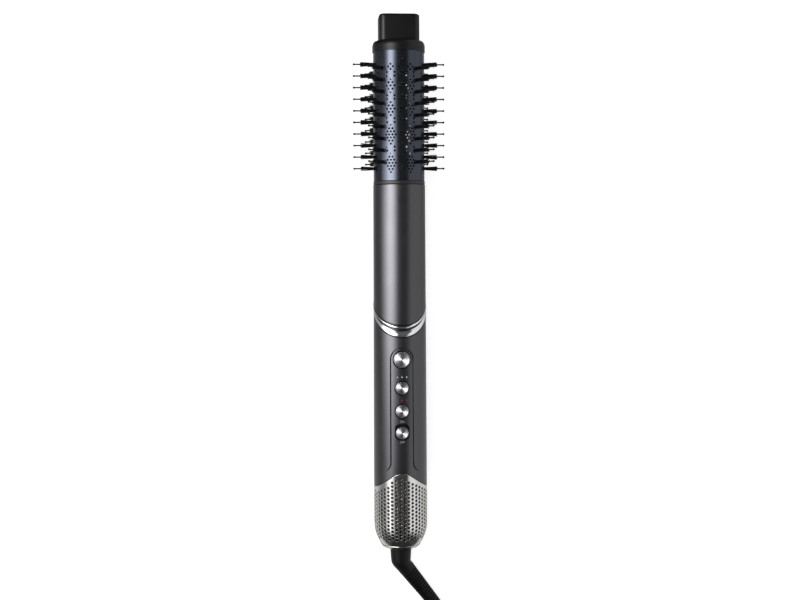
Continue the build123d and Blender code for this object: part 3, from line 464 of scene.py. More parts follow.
FINISHES = {
    "grip_plastic": finish("anthracite_lacquer", (0.09, 0.09, 0.097), (0.27, 0.32), metallic=0.92,
                           grain=(3200.0, 0.002), vary=0.14, flake=6000.0),
    "inner_plastic": finish("inner_plastic", (0.016, 0.016, 0.018), (0.5, 0.65)),
    "ring_chrome": finish("polished_chrome", (0.86, 0.87, 0.89), (0.05, 0.09), metallic=1.0,
                          grain=(900.0, 0.0006), vary=0.03),
    "grille_steel": finish("polished_sheet_steel", (0.69, 0.68, 0.66), (0.13, 0.18), metallic=1.0,
                           grain=(1500.0, 0.0015), vary=0.06),
    "filter_mesh": woven_mesh("woven_filter"),
    "motor_metal": finish("motor_steel", (0.2, 0.21, 0.22), (0.35, 0.5), metallic=0.8),
    "shaft_steel": finish("ground_steel", (0.5, 0.5, 0.51), (0.2, 0.3), metallic=1.0),
    "shield_metal": finish("rolled_aluminium", (0.55, 0.55, 0.55), (0.3, 0.4), metallic=1.0),
    "mica_board": finish("pressed_mica", (0.42, 0.36, 0.26), (0.4, 0.6), vary=0.3),
    "heating_ribbon": finish("heating_ribbon", (0.3, 0.27, 0.25), (0.3, 0.5), metallic=1.0, vary=0.25),
    "cutoff_white": finish("white_ceramic", (0.6, 0.59, 0.55), (0.4, 0.55)),
    "bezel_black": finish("black_gloss", (0.006, 0.006, 0.007), (0.16, 0.24)),
    "button_chrome": finish("turned_steel", (0.5, 0.5, 0.52), (0.24, 0.3), metallic=1.0, vary=0.04),
    "lamp_white": lit(finish("white_lamp", (0.5, 0.75, 0.8), (0.2, 0.3)), (0.55, 0.95, 1.0), 0.5),
    "lamp_red": lit(finish("red_lamp", (0.5, 0.03, 0.04), (0.2, 0.3)), (1.0, 0.05, 0.06), 0.22),
    "board_green": finish("lacquered_board", (0.01, 0.06, 0.03), (0.3, 0.45)),
    "lock_plastic": finish("lock_plastic", (0.02, 0.02, 0.022), (0.35, 0.45), metallic=0.2),
    "barrel_metal": finish("blue_grey_lacquer", (0.06, 0.066, 0.084), (0.17, 0.22), metallic=0.95,
                           grain=(2600.0, 0.002), vary=0.12, flake=6000.0),
    "bristle_nylon": finish("bristle_nylon", (0.005, 0.005, 0.0058), (0.32, 0.42), Specular_IOR_Level=0.3),
    "tip_plastic": finish("satin_black", (0.0055, 0.0055, 0.0065), (0.3, 0.38), Specular_IOR_Level=0.3),
    "boot_rubber": finish("boot_rubber", (0.004, 0.004, 0.0045), (0.38, 0.5), Specular_IOR_Level=0.22),
    "cord_rubber": finish("cord_sheath", (0.006, 0.006, 0.0065), (0.4, 0.5)),
    "tie_black": finish("tie_band", (0.02, 0.02, 0.021), (0.5, 0.65)),
    "pin_brass": finish("nickelled_brass", (0.6, 0.57, 0.5), (0.15, 0.25), metallic=1.0),
}

MARK_PRINT = finish("mark_print", (0.3, 0.3, 0.31), (0.45, 0.6))

for node, slot in NODE_SLOT.items():
    solid = frame["nodes"][node]
    solid.data.materials.clear()
    solid.data.materials.append(FINISHES[slot])


# ---- making a piece -----------------------------------------------------------------------------


def placed(name, data):
    """A new object in the scene."""
    made = bpy.data.objects.new(name, data)
    bpy.context.scene.collection.objects.link(made)
    return made


def piece(name, shape, node, normals=None, flat=(), sharp=40.0, replaces=True, slot=None):
    """A mesh drawn upright in millimetres, which takes the body and the finish of a CAD node."""
    points, faces = shape
    mesh = bpy.data.meshes.new(name)
    mesh.from_pydata([UPRIGHT @ Vector(p) for p in points], [], faces)
    mesh.shade_smooth()
    if normals:
        mesh.normals_split_custom_set_from_vertices([TURNED @ n for n in normals])
    else:
        mesh.set_sharp_from_angle(angle=math.radians(sharp))
    for number in flat:
        mesh.polygons[number].use_smooth = False
    slot = slot or NODE_SLOT[node]
    mesh.materials.append(FINISHES[slot])
    made = placed(name, mesh)
    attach(made, NODE_BODY[node])
    if replaces:
        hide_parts(node)
    return made


def joined(*shapes):
    """Several (points, faces) as one."""
    points, faces = [], []
    for more_points, more_faces in shapes:
        faces += [[len(points) + i for i in face] for face in more_faces]
        points += list(more_points)
    return points, faces


def rows_of_quads(rows, sides, closed, flip=False):
    """Faces between rows of points that each go once round. Closed joins the last row to the first."""
    faces = []
    for row in range(rows if closed else rows - 1):
        low, high = row * sides, (row + 1) % rows * sides
        for k in range(sides):
            after = (k + 1) % sides
            quad = [low + k, low + after, high + after, high + k]
            faces.append(quad[::-1] if flip else quad)
    return faces


def rounded(corners, radius, steps=4):
    """A closed outline whose corners are rounded."""
    outline = []
    count = len(corners)
    for n in range(count):
        before, at, after = (Vector(corners[(n + k) % count]) for k in (-1, 0, 1))
        reach = min(radius, 0.45 * (before - at).length, 0.45 * (after - at).length)
        start = at + (before - at).normalized() * reach
        end = at + (after - at).normalized() * reach
        for k in range(steps + 1):
            t = k / steps
            outline.append(start * (1 - t) ** 2 + at * 2 * t * (1 - t) + end * t ** 2)
    return outline


def lathe(profile, sides=SIDES, radius=0.0, place=spin):
    """A turned ring from a closed outline of (radius, z), anticlockwise with the radius to the right."""
    outline = rounded(profile, radius) if radius else [Vector(p) for p in profile]
    points = [place(360 * k / sides, r, z) for r, z in outline for k in range(sides)]
    return points, rows_of_quads(len(outline), sides, closed=True)


def bar(inner, outer, low, high):
    """Outline of a plain ring, for lathe()."""
    return (inner, low), (outer, low), (outer, high), (inner, high)


def capped(rows, sides, flip=False):
    """Rows of points closed by a face at either end."""
    count = len(rows) // sides
    faces = rows_of_quads(count, sides, closed=False, flip=flip)
    first, last = list(range(sides))[::-1], list(range((count - 1) * sides, count * sides))
    faces += [first[::-1], last[::-1]] if flip else [first, last]
    return rows, faces


def turned_solid(profile, sides, place=spin):
    """A turned body, closed at both ends of its profile of (radius, z)."""
    return capped([place(360 * k / sides, r, z) for r, z in profile for k in range(sides)], sides)


def facing(height, aside=0.0):
    """Places (angle, radius, depth) round an axis that points to the front."""
    def place(angle, radius, depth):
        turn = math.radians(angle)
        at = Vector((radius * math.cos(turn), depth, height + radius * math.sin(turn)))
        return at + Vector((aside, 0, 0))
    return place


def ring_row(centre, across, up, size, sides):
    """Points round a centre, in the plane of two directions."""
    row = []
    for k in range(sides):
        turn = 2 * math.pi * k / sides
        row.append(centre + (across * math.cos(turn) + up * math.sin(turn)) * size)
    return row


# ---- a wall cut from a sheet --------------------------------------------------------------------


def cut_sheet(loops, spots, place, thick, edge, wrap=0.0):
    """A wall that is drawn flat and rolled by place(u, z), which gives a point and its normal.

    loops[0] is the outline and the others are holes; spots are more points that keep it round.
    Its edges are rounded outwards by edge(u, z). The sides of the outline at -wrap / 2 and
    wrap / 2 meet behind. Gives the points, faces and normals.
    """
    flat = [Vector(point) for loop in loops for point in loop]
    starts = [sum(map(len, loops[:n])) for n in range(len(loops))]
    rings = [list(range(start, start + len(loop))) for start, loop in zip(starts, loops)]
    flat += [Vector(spot) for spot in spots]
    drawn, _, cut, _, _, origin = delaunay_2d_cdt(flat, [], rings, 1, 1e-6, True)
    cut = [face for face, inside in zip(cut, origin) if inside == [0]]
    behind = {round(at.y, 3): n for n, at in enumerate(drawn) if wrap and at.x < 1e-4 - wrap / 2}
    weld = {n: behind[round(at.y, 3)] for n, at in enumerate(drawn) if wrap and at.x > wrap / 2 - 1e-4}

    heading = {}
    for face in cut:
        for a, b in zip(face, face[1:] + face[:1]):
            heading[weld.get(a, a), weld.get(b, b)] = (drawn[b] - drawn[a]).normalized()
    rim = [(a, b) for a, b in heading if (b, a) not in heading]
    outward = {}
    for a, b in rim:
        for end in (a, b):
            right = Vector((heading[a, b].y, -heading[a, b].x))
            outward[end] = outward.get(end, Vector((0, 0))) + right

    used = sorted({weld.get(n, n) for face in cut for n in face})
    index = {n: k for k, n in enumerate(used)}
    points, normals = [], []
    for n in used:
        point, normal = place(*drawn[n])
        points.append(point)
        normals.append(normal)
    inner = len(points)
    for n in used:
        point, normal = place(*drawn[n])
        points.append(point - normal * thick)
        normals.append(-normal)
    faces = [[index[weld.get(n, n)] for n in face] for face in cut]
    faces += [[inner + n for n in reversed(face)] for face in faces]

    levels = {}
    for n, side in outward.items():
        side = side.normalized()
        u, z = drawn[n]
        point, normal = place(u, z)
        ahead, _ = place(u + 0.01 * side.x, z + 0.01 * side.y)
        out = (ahead - point).normalized()
        size = edge(u, z)
        levels[n] = [index[n]]
        for turn, depth in ((45, 0), (90, 0), (90, thick - size)):
            lean, drop = math.sin(math.radians(turn)), 1 - math.cos(math.radians(turn))
            base, _ = place(u + side.x * size * lean, z + side.y * size * lean)
            points.append(base - normal * (size * drop + depth))
            normals.append((normal * (1 - drop) + out * lean).normalized())
            levels[n].append(len(points) - 1)
        levels[n].append(inner + index[n])
    for a, b in rim:
        for k in range(len(levels[a]) - 1):
            faces.append([levels[b][k], levels[a][k], levels[a][k + 1], levels[b][k + 1]])
    return points, faces, normals


def sheet_piece(name, node, sheet):
    points, faces, normals = sheet
    return piece(name, (points, faces), node, normals=normals)


def rolled(radius_at, slope=0.0):
    """place() for a wall rolled round the long axis, with u measured at the grip's radius."""
    def place(u, z):
        turn = u / GRIP_R
        out = Vector((math.sin(turn), -math.cos(turn), 0))
        return out * radius_at(z) + Vector((0, 0, z)), (out + Vector((0, 0, slope))).normalized()
    return place


def unrolled(x):
    """How far round the grip a point at this distance from the middle lies."""
    return GRIP_R * math.asin(max(-1.0, min(1.0, x / GRIP_R)))


def even_spots(low, high, step):
    """Points spread evenly over a rectangle, its left and right edges left out."""
    across, along = (max(2, round((b - a) / s)) for a, b, s in zip(low, high, step))
    wide, tall = (high[0] - low[0]) / across, (high[1] - low[1]) / along
    return [(low[0] + wide * i, low[1] + tall * (j + 0.5)) for i in range(1, across) for j in range(along)]


def circle(u, z, radius, count, squeeze=1.0):
    turns = [2 * math.pi * k / count for k in range(count)]
    return [(u + radius * squeeze * math.cos(t), z + radius * math.sin(t)) for t in turns]


HALF_TURN = math.pi * GRIP_R


def v_edge(u, lift):
    """Height of the inverted V at this place round the grip."""
    x = abs(GRIP_R * math.sin(u / GRIP_R))
    tangent = PEAK_ROUND * PEAK_SLOPE / math.hypot(1, PEAK_SLOPE)
    if x > tangent:
        return PEAK_Z - PEAK_SLOPE * x + lift
    centre = PEAK_Z - PEAK_ROUND * math.hypot(1, PEAK_SLOPE)
    return centre + math.sqrt(PEAK_ROUND ** 2 - x ** 2) + lift


def ring_plane(share, y):
    """Height of the tilted plane that lies this share of the way down the bright ring."""
    top, foot = RING_TOP_Z + RING_RISE[0] * y, RING_FOOT_Z + RING_RISE[1] * y
    return blend(top, foot, share)


# ---- grip and control panel ---------------------------------------------------------------------


def keyhole(grow):
    """Right half of the panel's outline from the arch down to the V: (x, z) points."""
    half = PANEL_HALF + grow
    outline = [(half * math.sin(t), ARCH_Z + half * math.cos(t)) for t in
               (math.pi / 2 * k / 16 for k in range(17))]
    outline += [(half, z) for z in between(ARCH_Z, FLARE_TOP_Z, 30)[1:-1]]
    centre, radius = PANEL_HALF + FLARE_R, FLARE_R - grow
    for k in range(13):
        turn = math.radians(180 + FLARE_TURN * k / 12)
        outline.append((centre + radius * math.cos(turn), FLARE_TOP_Z + radius * math.sin(turn)))
    x, z = outline[-1]
    foot_z = PEAK_Z - PEAK_SLOPE * FOOT_HALF
    return outline + list(zip(between(x, FOOT_HALF + grow, 10), between(z, foot_z, 10)))[1:-1]


def fade(x):
    """How open the panel's groove is at this distance from the middle."""
    return 1 - ease((abs(x) - FADE[0]) / (FADE[1] - FADE[0]))


def panel_side(grow):
    """Right half of the outline, its groove closing towards the foot: (u, z) points."""
    near, seat = keyhole(grow), keyhole(math.copysign(GROOVE_END, grow))
    return [(unrolled(blend(b[0], a[0], fade(a[0]))), blend(b[1], a[1], fade(a[0])))
            for a, b in zip(near, seat)]


def edge_of_panel(u, z):
    """Rounding of the grip's and the panel's edges, which fades with the groove."""
    beside = abs(u) < unrolled(FOOT_HALF) and z > v_edge(u, 1.5 * EDGE)
    return max(FADED_EDGE, PANEL_EDGE * fade(GRIP_R * math.sin(u / GRIP_R))) if beside else EDGE


def grip():
    """Tapered grip with the keyhole in which the panel lies, and the neck inside the grille."""
    side = panel_side(PANEL_EDGE)
    low = SEAM / 2 + EDGE
    right = [(u, v_edge(u, low)) for u in between(side[-1][0], HALF_TURN, 40)]
    top = [(u, ring_plane(GRIP_TOP, -GRIP_R * math.cos(u / GRIP_R)) - EDGE)
           for u in between(HALF_TURN, -HALF_TURN, 180)]
    seam = between(right[-1][1], top[0][1], 24)[1:-1]
    outline = side + right + [(HALF_TURN, z) for z in seam] + top
    outline += [(-HALF_TURN, z) for z in reversed(seam)] + mirrored(right) + mirrored(side[1:])
    spots = even_spots((-HALF_TURN, GRIP_SPAN[0]), (HALF_TURN, GRIP_SPAN[1]), GRIP_STEP)
    skin = cut_sheet([outline], spots, rolled(body_r, TAPER), GRIP_WALL, edge_of_panel, 2 * HALF_TURN)
    outer = GRIP_R - GRILLE_WALL - NECK_GAP
    neck = lathe(bar(outer - NECK_WALL, outer, NECK_LOW_Z, PEAK_Z + NECK_OVER), radius=EDGE)
    sheet_piece("grip", "handle_shell", skin)
    piece("grip_neck", neck, "handle_shell", replaces=False, slot="inner_plastic")


def slot_loop(grow):
    """Rounded square in which the power switch slides."""
    middle = middle_z("slide_frame")
    wide, tall = (side + grow for side in SLOT_HALF)
    outline = []
    for n, (right, up) in enumerate(((-1, -1), (1, -1), (1, 1), (-1, 1))):
        x = right * wide - right * SLOT_ROUND
        z = middle + up * tall - up * SLOT_ROUND
        for k in range(7):
            turn = math.radians(180 + 90 * n + 15 * k)
            outline.append((x + SLOT_ROUND * math.cos(turn), z + SLOT_ROUND * math.sin(turn)))
    return [(unrolled(x), z) for x, z in outline]


def lamp_places(node):
    return [(x, middle_z(node)) for x in (-LAMP_SPREAD, 0, LAMP_SPREAD)]


def panel():
    """Panel flush with the grip, with holes for the controls."""
    side = panel_side(-PANEL_GAP - PANEL_EDGE)
    foot_u = side[-1][0]
    low = SEAM / 2 + EDGE
    foot = [(u, v_edge(u, low)) for u in between(-foot_u, foot_u, 60)[1:-1]]
    outline = [(-u, z) for u, z in side[1:]] + foot + side[::-1]
    holes = [slot_loop(HOLE_GAP)]
    for node in BUTTONS:
        reach = measure(node)[1].x + BEZEL_FIT + BEZEL + HOLE_GAP
        holes.append([(unrolled(x), z) for x, z in circle(0, middle_z(node), reach, 48)])
    for node in ("speed_lamps", "heat_lamps"):
        holes += [circle(unrolled(x), z, LAMP_R + HOLE_GAP, 16) for x, z in lamp_places(node)]
    rims = [Vector(point) for hole in holes for point in hole]
    spots = [spot for spot in even_spots((-GRIP_R, PANEL_SPAN[0]), (GRIP_R, PANEL_SPAN[1]), PANEL_STEP)
             if all((Vector(spot) - rim).length > RIM_CLEAR for rim in rims)]
    plate = cut_sheet([outline] + holes, spots, rolled(body_r, TAPER), PANEL_THICK, edge_of_hole)
    sheet_piece("panel", "control_panel", plate)


def edge_of_hole(u, z):
    """Rounding of the panel's outer edge, and next to none at its holes."""
    beside = abs(u) < PANEL_HALF - HOLES_SIDE
    return HOLE_EDGE if beside and v_edge(u, HOLES_UP) < z < ARCH_Z + HOLES_TOP else edge_of_panel(u, z)


def pocket_floor():
    """Floor of the keyhole behind the panel, seen only through its groove."""
    reach = math.degrees(unrolled(PANEL_HALF + POCKET_OVER) / GRIP_R)
    rows = []
    for depth in (PANEL_THICK + POCKET_GAP, GRIP_WALL):
        for z in (POCKET_LOW_Z, ARCH_Z + PANEL_HALF + POCKET_OVER):
            rows.append([spin(angle, body_r(z) - depth, z) for angle in between(-reach, reach, 24)])
    faces = []
    for n in range(4):
        a, b = n * 25, (n + 1) % 4 * 25
        faces += [[a + k, a + k + 1, b + k + 1, b + k] for k in range(24)]
    faces += [[0, 25, 50, 75], [24, 99, 74, 49]]
    piece("pocket_floor", (rows[0] + rows[1] + rows[3] + rows[2], faces), "handle_shell", replaces=False)


# ---- bright ring and upper tube -----------------------------------------------------------------


def tilted_ring(rows):
    """A closed ring from rows of (share of the way down the bright ring, height above the tube)."""
    points = []
    for share, lift in rows:
        for k in range(SIDES):
            angle = 360 * k / SIDES
            z = ring_plane(share, -GRIP_R * math.cos(math.radians(angle)))
            points.append(spin(angle, body_r(z) + lift, z))
    return points, rows_of_quads(len(rows), SIDES, closed=True, flip=True)


def trim_ring():
    """Bright ring: a narrow bead, and below it a wide band whose upper part slopes down to the gap."""
    bead = [(share, BEAD_PROUD - BEAD_DROP * abs(k / 5 - 1) ** BEAD_CURVE)
            for k, share in enumerate(between(*BEAD, 10))]
    band = []
    for k, share in enumerate(between(*BAND, 14)):
        t = k / 14
        slope = BAND_DROP * max(0.0, 1 - t / BAND_SLOPE) ** BAND_CURVE
        foot = BAND_FOOT_DROP * max(0.0, (t - (1 - BAND_FOOT)) / BAND_FOOT) ** 2
        band.append((share, BAND_PROUD - slope - foot))
    rings = [tilted_ring([(rows[0][0], -GRIP_WALL), *rows, (rows[-1][0], -GRIP_WALL)])
             for rows in (bead, band)]
    piece("bright_ring", joined(*rings), "trim_ring")


def ring_core():
    """Black carrier that shows in the gaps beside the bead and the band."""
    core = [(0, -GRIP_WALL), (0, -RING_GROOVE), (1, -RING_GROOVE), (1, -GRIP_WALL)]
    piece("ring_core", tilted_ring(core), "trim_ring", replaces=False, slot="bezel_black")


def upper_tube():
    """Tapered tube whose lower edge lies on the ring's upper plane."""
    edge = soft_edge(EDGE, 3)
    columns = []
    for k in range(SIDES):
        angle = 360 * k / SIDES
        plane = ring_plane(0, -GRIP_R * math.cos(math.radians(angle)))
        column = [(GRIP_WALL, plane + SEAM)] + [(inwards, plane + (SEAM + up)) for inwards, up in edge]
        column.append((0, plane + (SEAM + 2 * EDGE)))
        column += [(0, z) for z in between(plane + SEAM + 2 * EDGE, TUBE_TOP_Z - 2 * EDGE, 16)[1:]]
        column += [(inwards, TUBE_TOP_Z - up) for inwards, up in reversed(edge)]
        column.append((GRIP_WALL, TUBE_TOP_Z))
        columns.append([spin(angle, body_r(z) - inwards, z) for inwards, z in column])
    points = [point for row in zip(*columns) for point in row]
    piece("tube", (points, rows_of_quads(len(columns[0]), SIDES, closed=True)), "upper_tube")


# ---- air inlet ----------------------------------------------------------------------------------


def bowl_arc():
    """Centre and radius of the bowl's arc, from its two ends and a point between them."""
    (ax, az), (bx, bz), (cx, cz) = (GRIP_R, SHOULDER_Z), BOWL, (FLOOR_R, 0.0)
    d = 2 * (ax * (bz - cz) + bx * (cz - az) + cx * (az - bz))
    a2, b2, c2 = ax * ax + az * az, bx * bx + bz * bz, cx * cx + cz * cz
    x = (a2 * (bz - cz) + b2 * (cz - az) + c2 * (az - bz)) / d
    z = (a2 * (cx - bx) + b2 * (ax - cx) + c2 * (bx - ax)) / d
    return x, z, math.hypot(ax - x, az - z)


ARC_X, ARC_Z, ARC_R = bowl_arc()
ARC_FROM = math.atan2(-ARC_Z, FLOOR_R - ARC_X)
ARC_TO = math.atan2(SHOULDER_Z - ARC_Z, GRIP_R - ARC_X)
ARC_LONG = ARC_R * (ARC_TO - ARC_FROM)
CORNER_Z = SHOULDER_Z - ARC_LONG    # where the wall, laid straight, meets the floor


def grille_profile(z):
    """Radius, height and outward direction where the grille's wall, laid straight, has this height."""
    along = z - CORNER_Z
    if along >= ARC_LONG:
        return GRIP_R, z, (1.0, 0.0)
    if along >= 0:
        turn = ARC_FROM + along / ARC_R
        out = (math.cos(turn), math.sin(turn))
        return ARC_X + ARC_R * out[0], ARC_Z + ARC_R * out[1], out
    return FLOOR_R + along, 0.0, (0.0, -1.0)


def on_grille(u, z):
    radius, height, (out, up) = grille_profile(z)
    turn = u / GRIP_R
    around = Vector((math.sin(turn), -math.cos(turn), 0))
    return around * radius + Vector((0, 0, height)), around * out + Vector((0, 0, up))


def inlet_holes():
    """Staggered round holes as far as the rim along the V."""
    holes = []
    for column in range(INLET_COLUMNS):
        u = -HALF_TURN + 2 * HALF_TURN * (column + 0.5) / INLET_COLUMNS
        first = INLET_LOWEST_Z + (column % 2) * INLET_PITCH / 2
        rim = v_edge(u, -INLET_RIM - INLET_HOLE_R)
        for n in range(int((rim - first) / INLET_PITCH) + 1):
            z = first + n * INLET_PITCH
            holes.append(circle(u, z, INLET_HOLE_R, 14, GRIP_R / grille_profile(z)[0]))
    return holes


def grille():
    """Perforated cup, straight above and bowl-shaped below, with a plain rim along the V."""
    low = CORNER_Z - FLOOR_R + FLOOR_BORE_R
    lift = -SEAM / 2 - EDGE
    turns = between(HALF_TURN, -HALF_TURN, 240)
    top = [(u, v_edge(u, lift)) for u in turns]
    seam = between(low, top[0][1], 30)[1:-1]
    outline = [(-u, low) for u in turns] + [(HALF_TURN, z) for z in seam] + top
    outline += [(-HALF_TURN, z) for z in reversed(seam)]
    spots = even_spots((-HALF_TURN, low + 0.5), (HALF_TURN, PEAK_Z - 2.8), GRILLE_STEP)
    spots = [(u, z) for u, z in spots if low + GRILLE_CLEAR < z < v_edge(u, lift - GRILLE_CLEAR)]
    spots += [(u, CORNER_Z + off) for u in turns[1:-1:2] for off in (-0.5, -0.2, 0.0, 0.2, 0.5)]
    loops = [outline] + inlet_holes()
    sheet_piece("grille", "inlet_grille",
                cut_sheet(loops, spots, on_grille, GRILLE_WALL, edge_of_grille, 2 * HALF_TURN))
    floor_ring = (
        (FLOOR_BORE_R, GRILLE_WALL),
        (FLOOR_R + 1.0, GRILLE_WALL),
        (FLOOR_R + 2.0, GRILLE_FLOOR),
        (FLOOR_BORE_R, GRILLE_FLOOR),
    )
    piece("grille_floor", lathe(floor_ring), "inlet_grille", replaces=False)


def filter_foot():
    """Screen that closes the bowl below the intake filter."""
    foot, reach = measure("intake_filter")[0].z, measure("intake_filter")[1].x
    outline = [
        (reach - 0.3, foot + 0.5),
        (reach - 1.2, foot),
        (BOWL[0] - SCREEN_INSIDE, BOWL[1]),
        (FLOOR_R, SCREEN_LOW_Z),
    ]
    inside = [(r - SCREEN_WALL, z) for r, z in reversed(outline)]
    piece("filter_foot", lathe(inside + outline), "intake_filter", replaces=False)


def edge_of_grille(u, z):
    return EDGE if z > v_edge(u, -1.0) else GRILLE_EDGE


# ---- controls -----------------------------------------------------------------------------------

BUTTONS = ("top_button", "speed_button", "heat_button")


def turned_cap(name, node):
    """Metal cap with fine turned grooves, and the stem behind it."""
    low, high = measure(node)
    radius, face = high.x, low.y
    pitch = TURNING_PITCH / 2
    depth = pitch * math.tan(math.radians(TURNING_ANGLE))
    rings = int((radius - CAP_EDGE - CAP_RIM) / pitch)
    profile = [(CAP_MIDDLE_R + pitch * n, face + depth * (n % 2)) for n in range(rings)]
    profile += [(radius - inwards, face + down) for inwards, down in soft_edge(CAP_EDGE, 4)]
    profile += [(radius, face + CAP_DEEP), (STEM_R, face + CAP_DEEP), (STEM_R, high.y)]
    sides = 96
    shape = turned_solid(profile, sides, facing(middle_z(node)))
    piece(name, shape, node, flat=range((rings - 1) * sides), sharp=60)


def bezels():
    """Black rings in which the buttons slide."""
    rings = []
    for node in BUTTONS:
        middle = middle_z(node)
        inner = measure(node)[1].x + BEZEL_FIT
        near, far = -body_r(middle) - BEZEL_PROUD, -body_r(middle) + BEZEL_DEEP
        outline = ((inner, far), (inner, near), (inner + BEZEL, near), (inner + BEZEL, far))
        rings.append(lathe(outline, 72, BEZEL_ROUND, facing(middle)))
    piece("bezels", joined(*rings), "button_bezels")


def lamps(name, node):
    """Three light pipes with slightly domed ends."""
    domes = []
    for x, z in lamp_places(node):
        face = -math.sqrt(body_r(z) ** 2 - x * x)
        profile = [(LAMP_R * math.sin(t), face - LAMP_DOME * math.cos(t)) for t in quarter(6)[1:]]
        domes.append(turned_solid(profile + [(LAMP_R, face + LAMP_DEEP)], 20, facing(z, x)))
    piece(name, joined(*domes), node)


def switch_mark(word, middle):
    """A small printed word that follows the panel's surface."""
    curve = bpy.data.curves.new(word, "FONT")
    curve.body = word
    curve.align_x = "CENTER"
    curve.align_y = "CENTER"
    curve.size = MARK_TALL * MARK_SIZE
    curve.offset = 0.02
    curve.resolution_u = 3
    text = placed(word, curve)
    flat = bpy.data.meshes.new_from_object(text)
    outline = [vertex.co.copy() for vertex in flat.vertices]
    faces = [list(face.vertices) for face in flat.polygons]
    bpy.data.objects.remove(text)
    bpy.data.meshes.remove(flat)
    bpy.data.curves.remove(curve)
    points = []
    for lift in MARK_LAYER:
        for at in outline:
            z = middle + at.y
            points.append((at.x, -math.sqrt((body_r(z) + lift) ** 2 - at.x ** 2), z))
    count = len(outline)
    heading = {(a, b) for face in faces for a, b in zip(face, face[1:] + face[:1])}
    walls = [[b, a, a + count, b + count] for a, b in sorted(heading) if (b, a) not in heading]
    shape = points, faces + [[n + count for n in reversed(face)] for face in faces] + walls
    made = piece("mark_" + word.lower(), shape, "control_panel", replaces=False, slot="cutoff_white")
    made.data.materials[0] = MARK_PRINT


# ---- lock ring and brush ------------------------------------------------------------------------


def lock_ring():
    """Turning ring with rounded edges."""
    outline = bar(LOCK_R - LOCK_WALL, LOCK_R, LOCK_LOW_Z, LOCK_TOP_Z)
    piece("turning_ring", lathe(outline, radius=LOCK_EDGE), "lock_ring")


def line_mark(name, node, radius, low, high):
    """A short painted line along the surface."""
    turn = math.degrees(LINE_WIDE / 2 / radius)
    points = []
    for lift in MARK_LAYER:
        for z in (low, high):
            points += [spin(angle, radius + lift, z) for angle in between(-turn, turn, 2)]
    faces = []
    for k in range(2):
        faces += [[k, k + 1, k + 4, k + 3], [k + 7, k + 6, k + 9, k + 10]]
        faces += [[k + 1, k, k + 6, k + 7], [k + 3, k + 4, k + 10, k + 9]]
    faces += [[0, 3, 9, 6], [5, 2, 8, 11]]
    piece(name, (points, faces), node, replaces=False, slot="bezel_black")


def row_heights(column):
    """Ten rows on every other column, and nine between them, half a pitch higher."""
    first, last = BARREL_LOW_Z + FIRST_ROW_UP, BARREL_TOP_Z - LAST_ROW_DOWN
    pitch = (last - first) / (ROWS - 1)
    odd = column % 2
    return [first + pitch * (row + odd / 2) for row in range(ROWS - odd)]


def vent_group(top, bottom, widest, pitch):
    """A lozenge of holes: its rows grow by one hole up to the widest, and shrink again."""
    rows = between(top, bottom, 2 * widest - 2)
    counts = [widest - abs(widest - 1 - n) for n in range(len(rows))]
    return [((k - (count - 1) / 2) * pitch, z) for count, z in zip(counts, rows) for k in range(count)]


def vent_spots():
    """Air holes between two columns of tufts, as (sideways, height)."""
    up = BARREL_TOP_Z
    small, large = VENT_PITCH
    spots = vent_group(up - 10.3, up - 14.0, 2, 3.6)
    for start, end in ((16.2, 19.0), (33.2, 35.8), (50.0, 52.9), (70.9, 73.7)):
        spots += [(side * 2.9, up - z) for side in (-1, 1) for z in (start, end)]
    for start, end, widest, pitch in ((21.3, 30.8, 3, small), (38.3, 47.7, 3, small),
                                      (55.1, 68.6, 4, large), (75.9, 89.5, 4, large)):
        spots += vent_group(up - start, up - end, widest, pitch)
    return spots


def barrel():
    """Thin metal barrel with a passage for each tuft and groups of air holes between them."""
    stretch = GRIP_R / BARREL_R
    low, top = BARREL_LOW_Z + BARREL_EDGE, BARREL_TOP_Z - BARREL_EDGE
    loops = [barrel_outline(low, top, [circle(0, z, PASSAGE_R, 18, stretch) for z in row_heights(0)])]
    for column in range(COLUMNS):
        middle = (column - (COLUMNS - 1) / 2) * 2 * HALF_TURN / COLUMNS
        loops += [circle(middle + side * stretch, z, VENT_R, 12, stretch) for side, z in vent_spots()]
        if column > 0:
            passage = middle - HALF_TURN / COLUMNS
            loops += [circle(passage, z, PASSAGE_R, 18, stretch) for z in row_heights(column)]
    spots = even_spots((-HALF_TURN, low), (HALF_TURN, top), BARREL_STEP)
    wall = cut_sheet(loops, spots, rolled(lambda z: BARREL_R), BARREL_WALL, edge_of_barrel, 2 * HALF_TURN)
    sheet_piece("barrel", "brush_barrel", wall)


def barrel_outline(low, top, passages):
    """Outline of the barrel's sheet; the passages behind bite into both its sides."""
    centres = [loop[0][1] for loop in passages]
    heights = [low, *between(low, top, 24)[1:-1], top]
    rising = {(HALF_TURN, z) for z in heights if all(abs(z - at) >= PASSAGE_R + 0.05 for at in centres)}
    for loop, at in zip(passages, centres):
        rising |= {(HALF_TURN + u, z) for u, z in loop if u < -1e-6}
        rising |= {(HALF_TURN, at - PASSAGE_R), (HALF_TURN, at + PASSAGE_R)}
    rising = sorted(rising, key=lambda point: (point[1], point[0]))
    turns = between(HALF_TURN, -HALF_TURN, 180)[1:-1]
    return [(-u, low) for u in turns] + rising + [(u, top) for u in turns] + mirrored(rising)


def edge_of_barrel(u, z):
    return BARREL_EDGE if z < BARREL_LOW_Z + 0.2 or z > BARREL_TOP_Z - 0.2 else BARREL_HOLE_EDGE


def stick(start, end, radii, across, up, sides):
    """A thin tapered rod with a rounded end, as (points, faces)."""
    rows = []
    for share, size in ((0, radii[0]), (0.97, radii[1]), (1.0, radii[1] * 0.6)):
        rows += ring_row(start + (end - start) * share, across, up, size, sides)
    return capped(rows, sides)


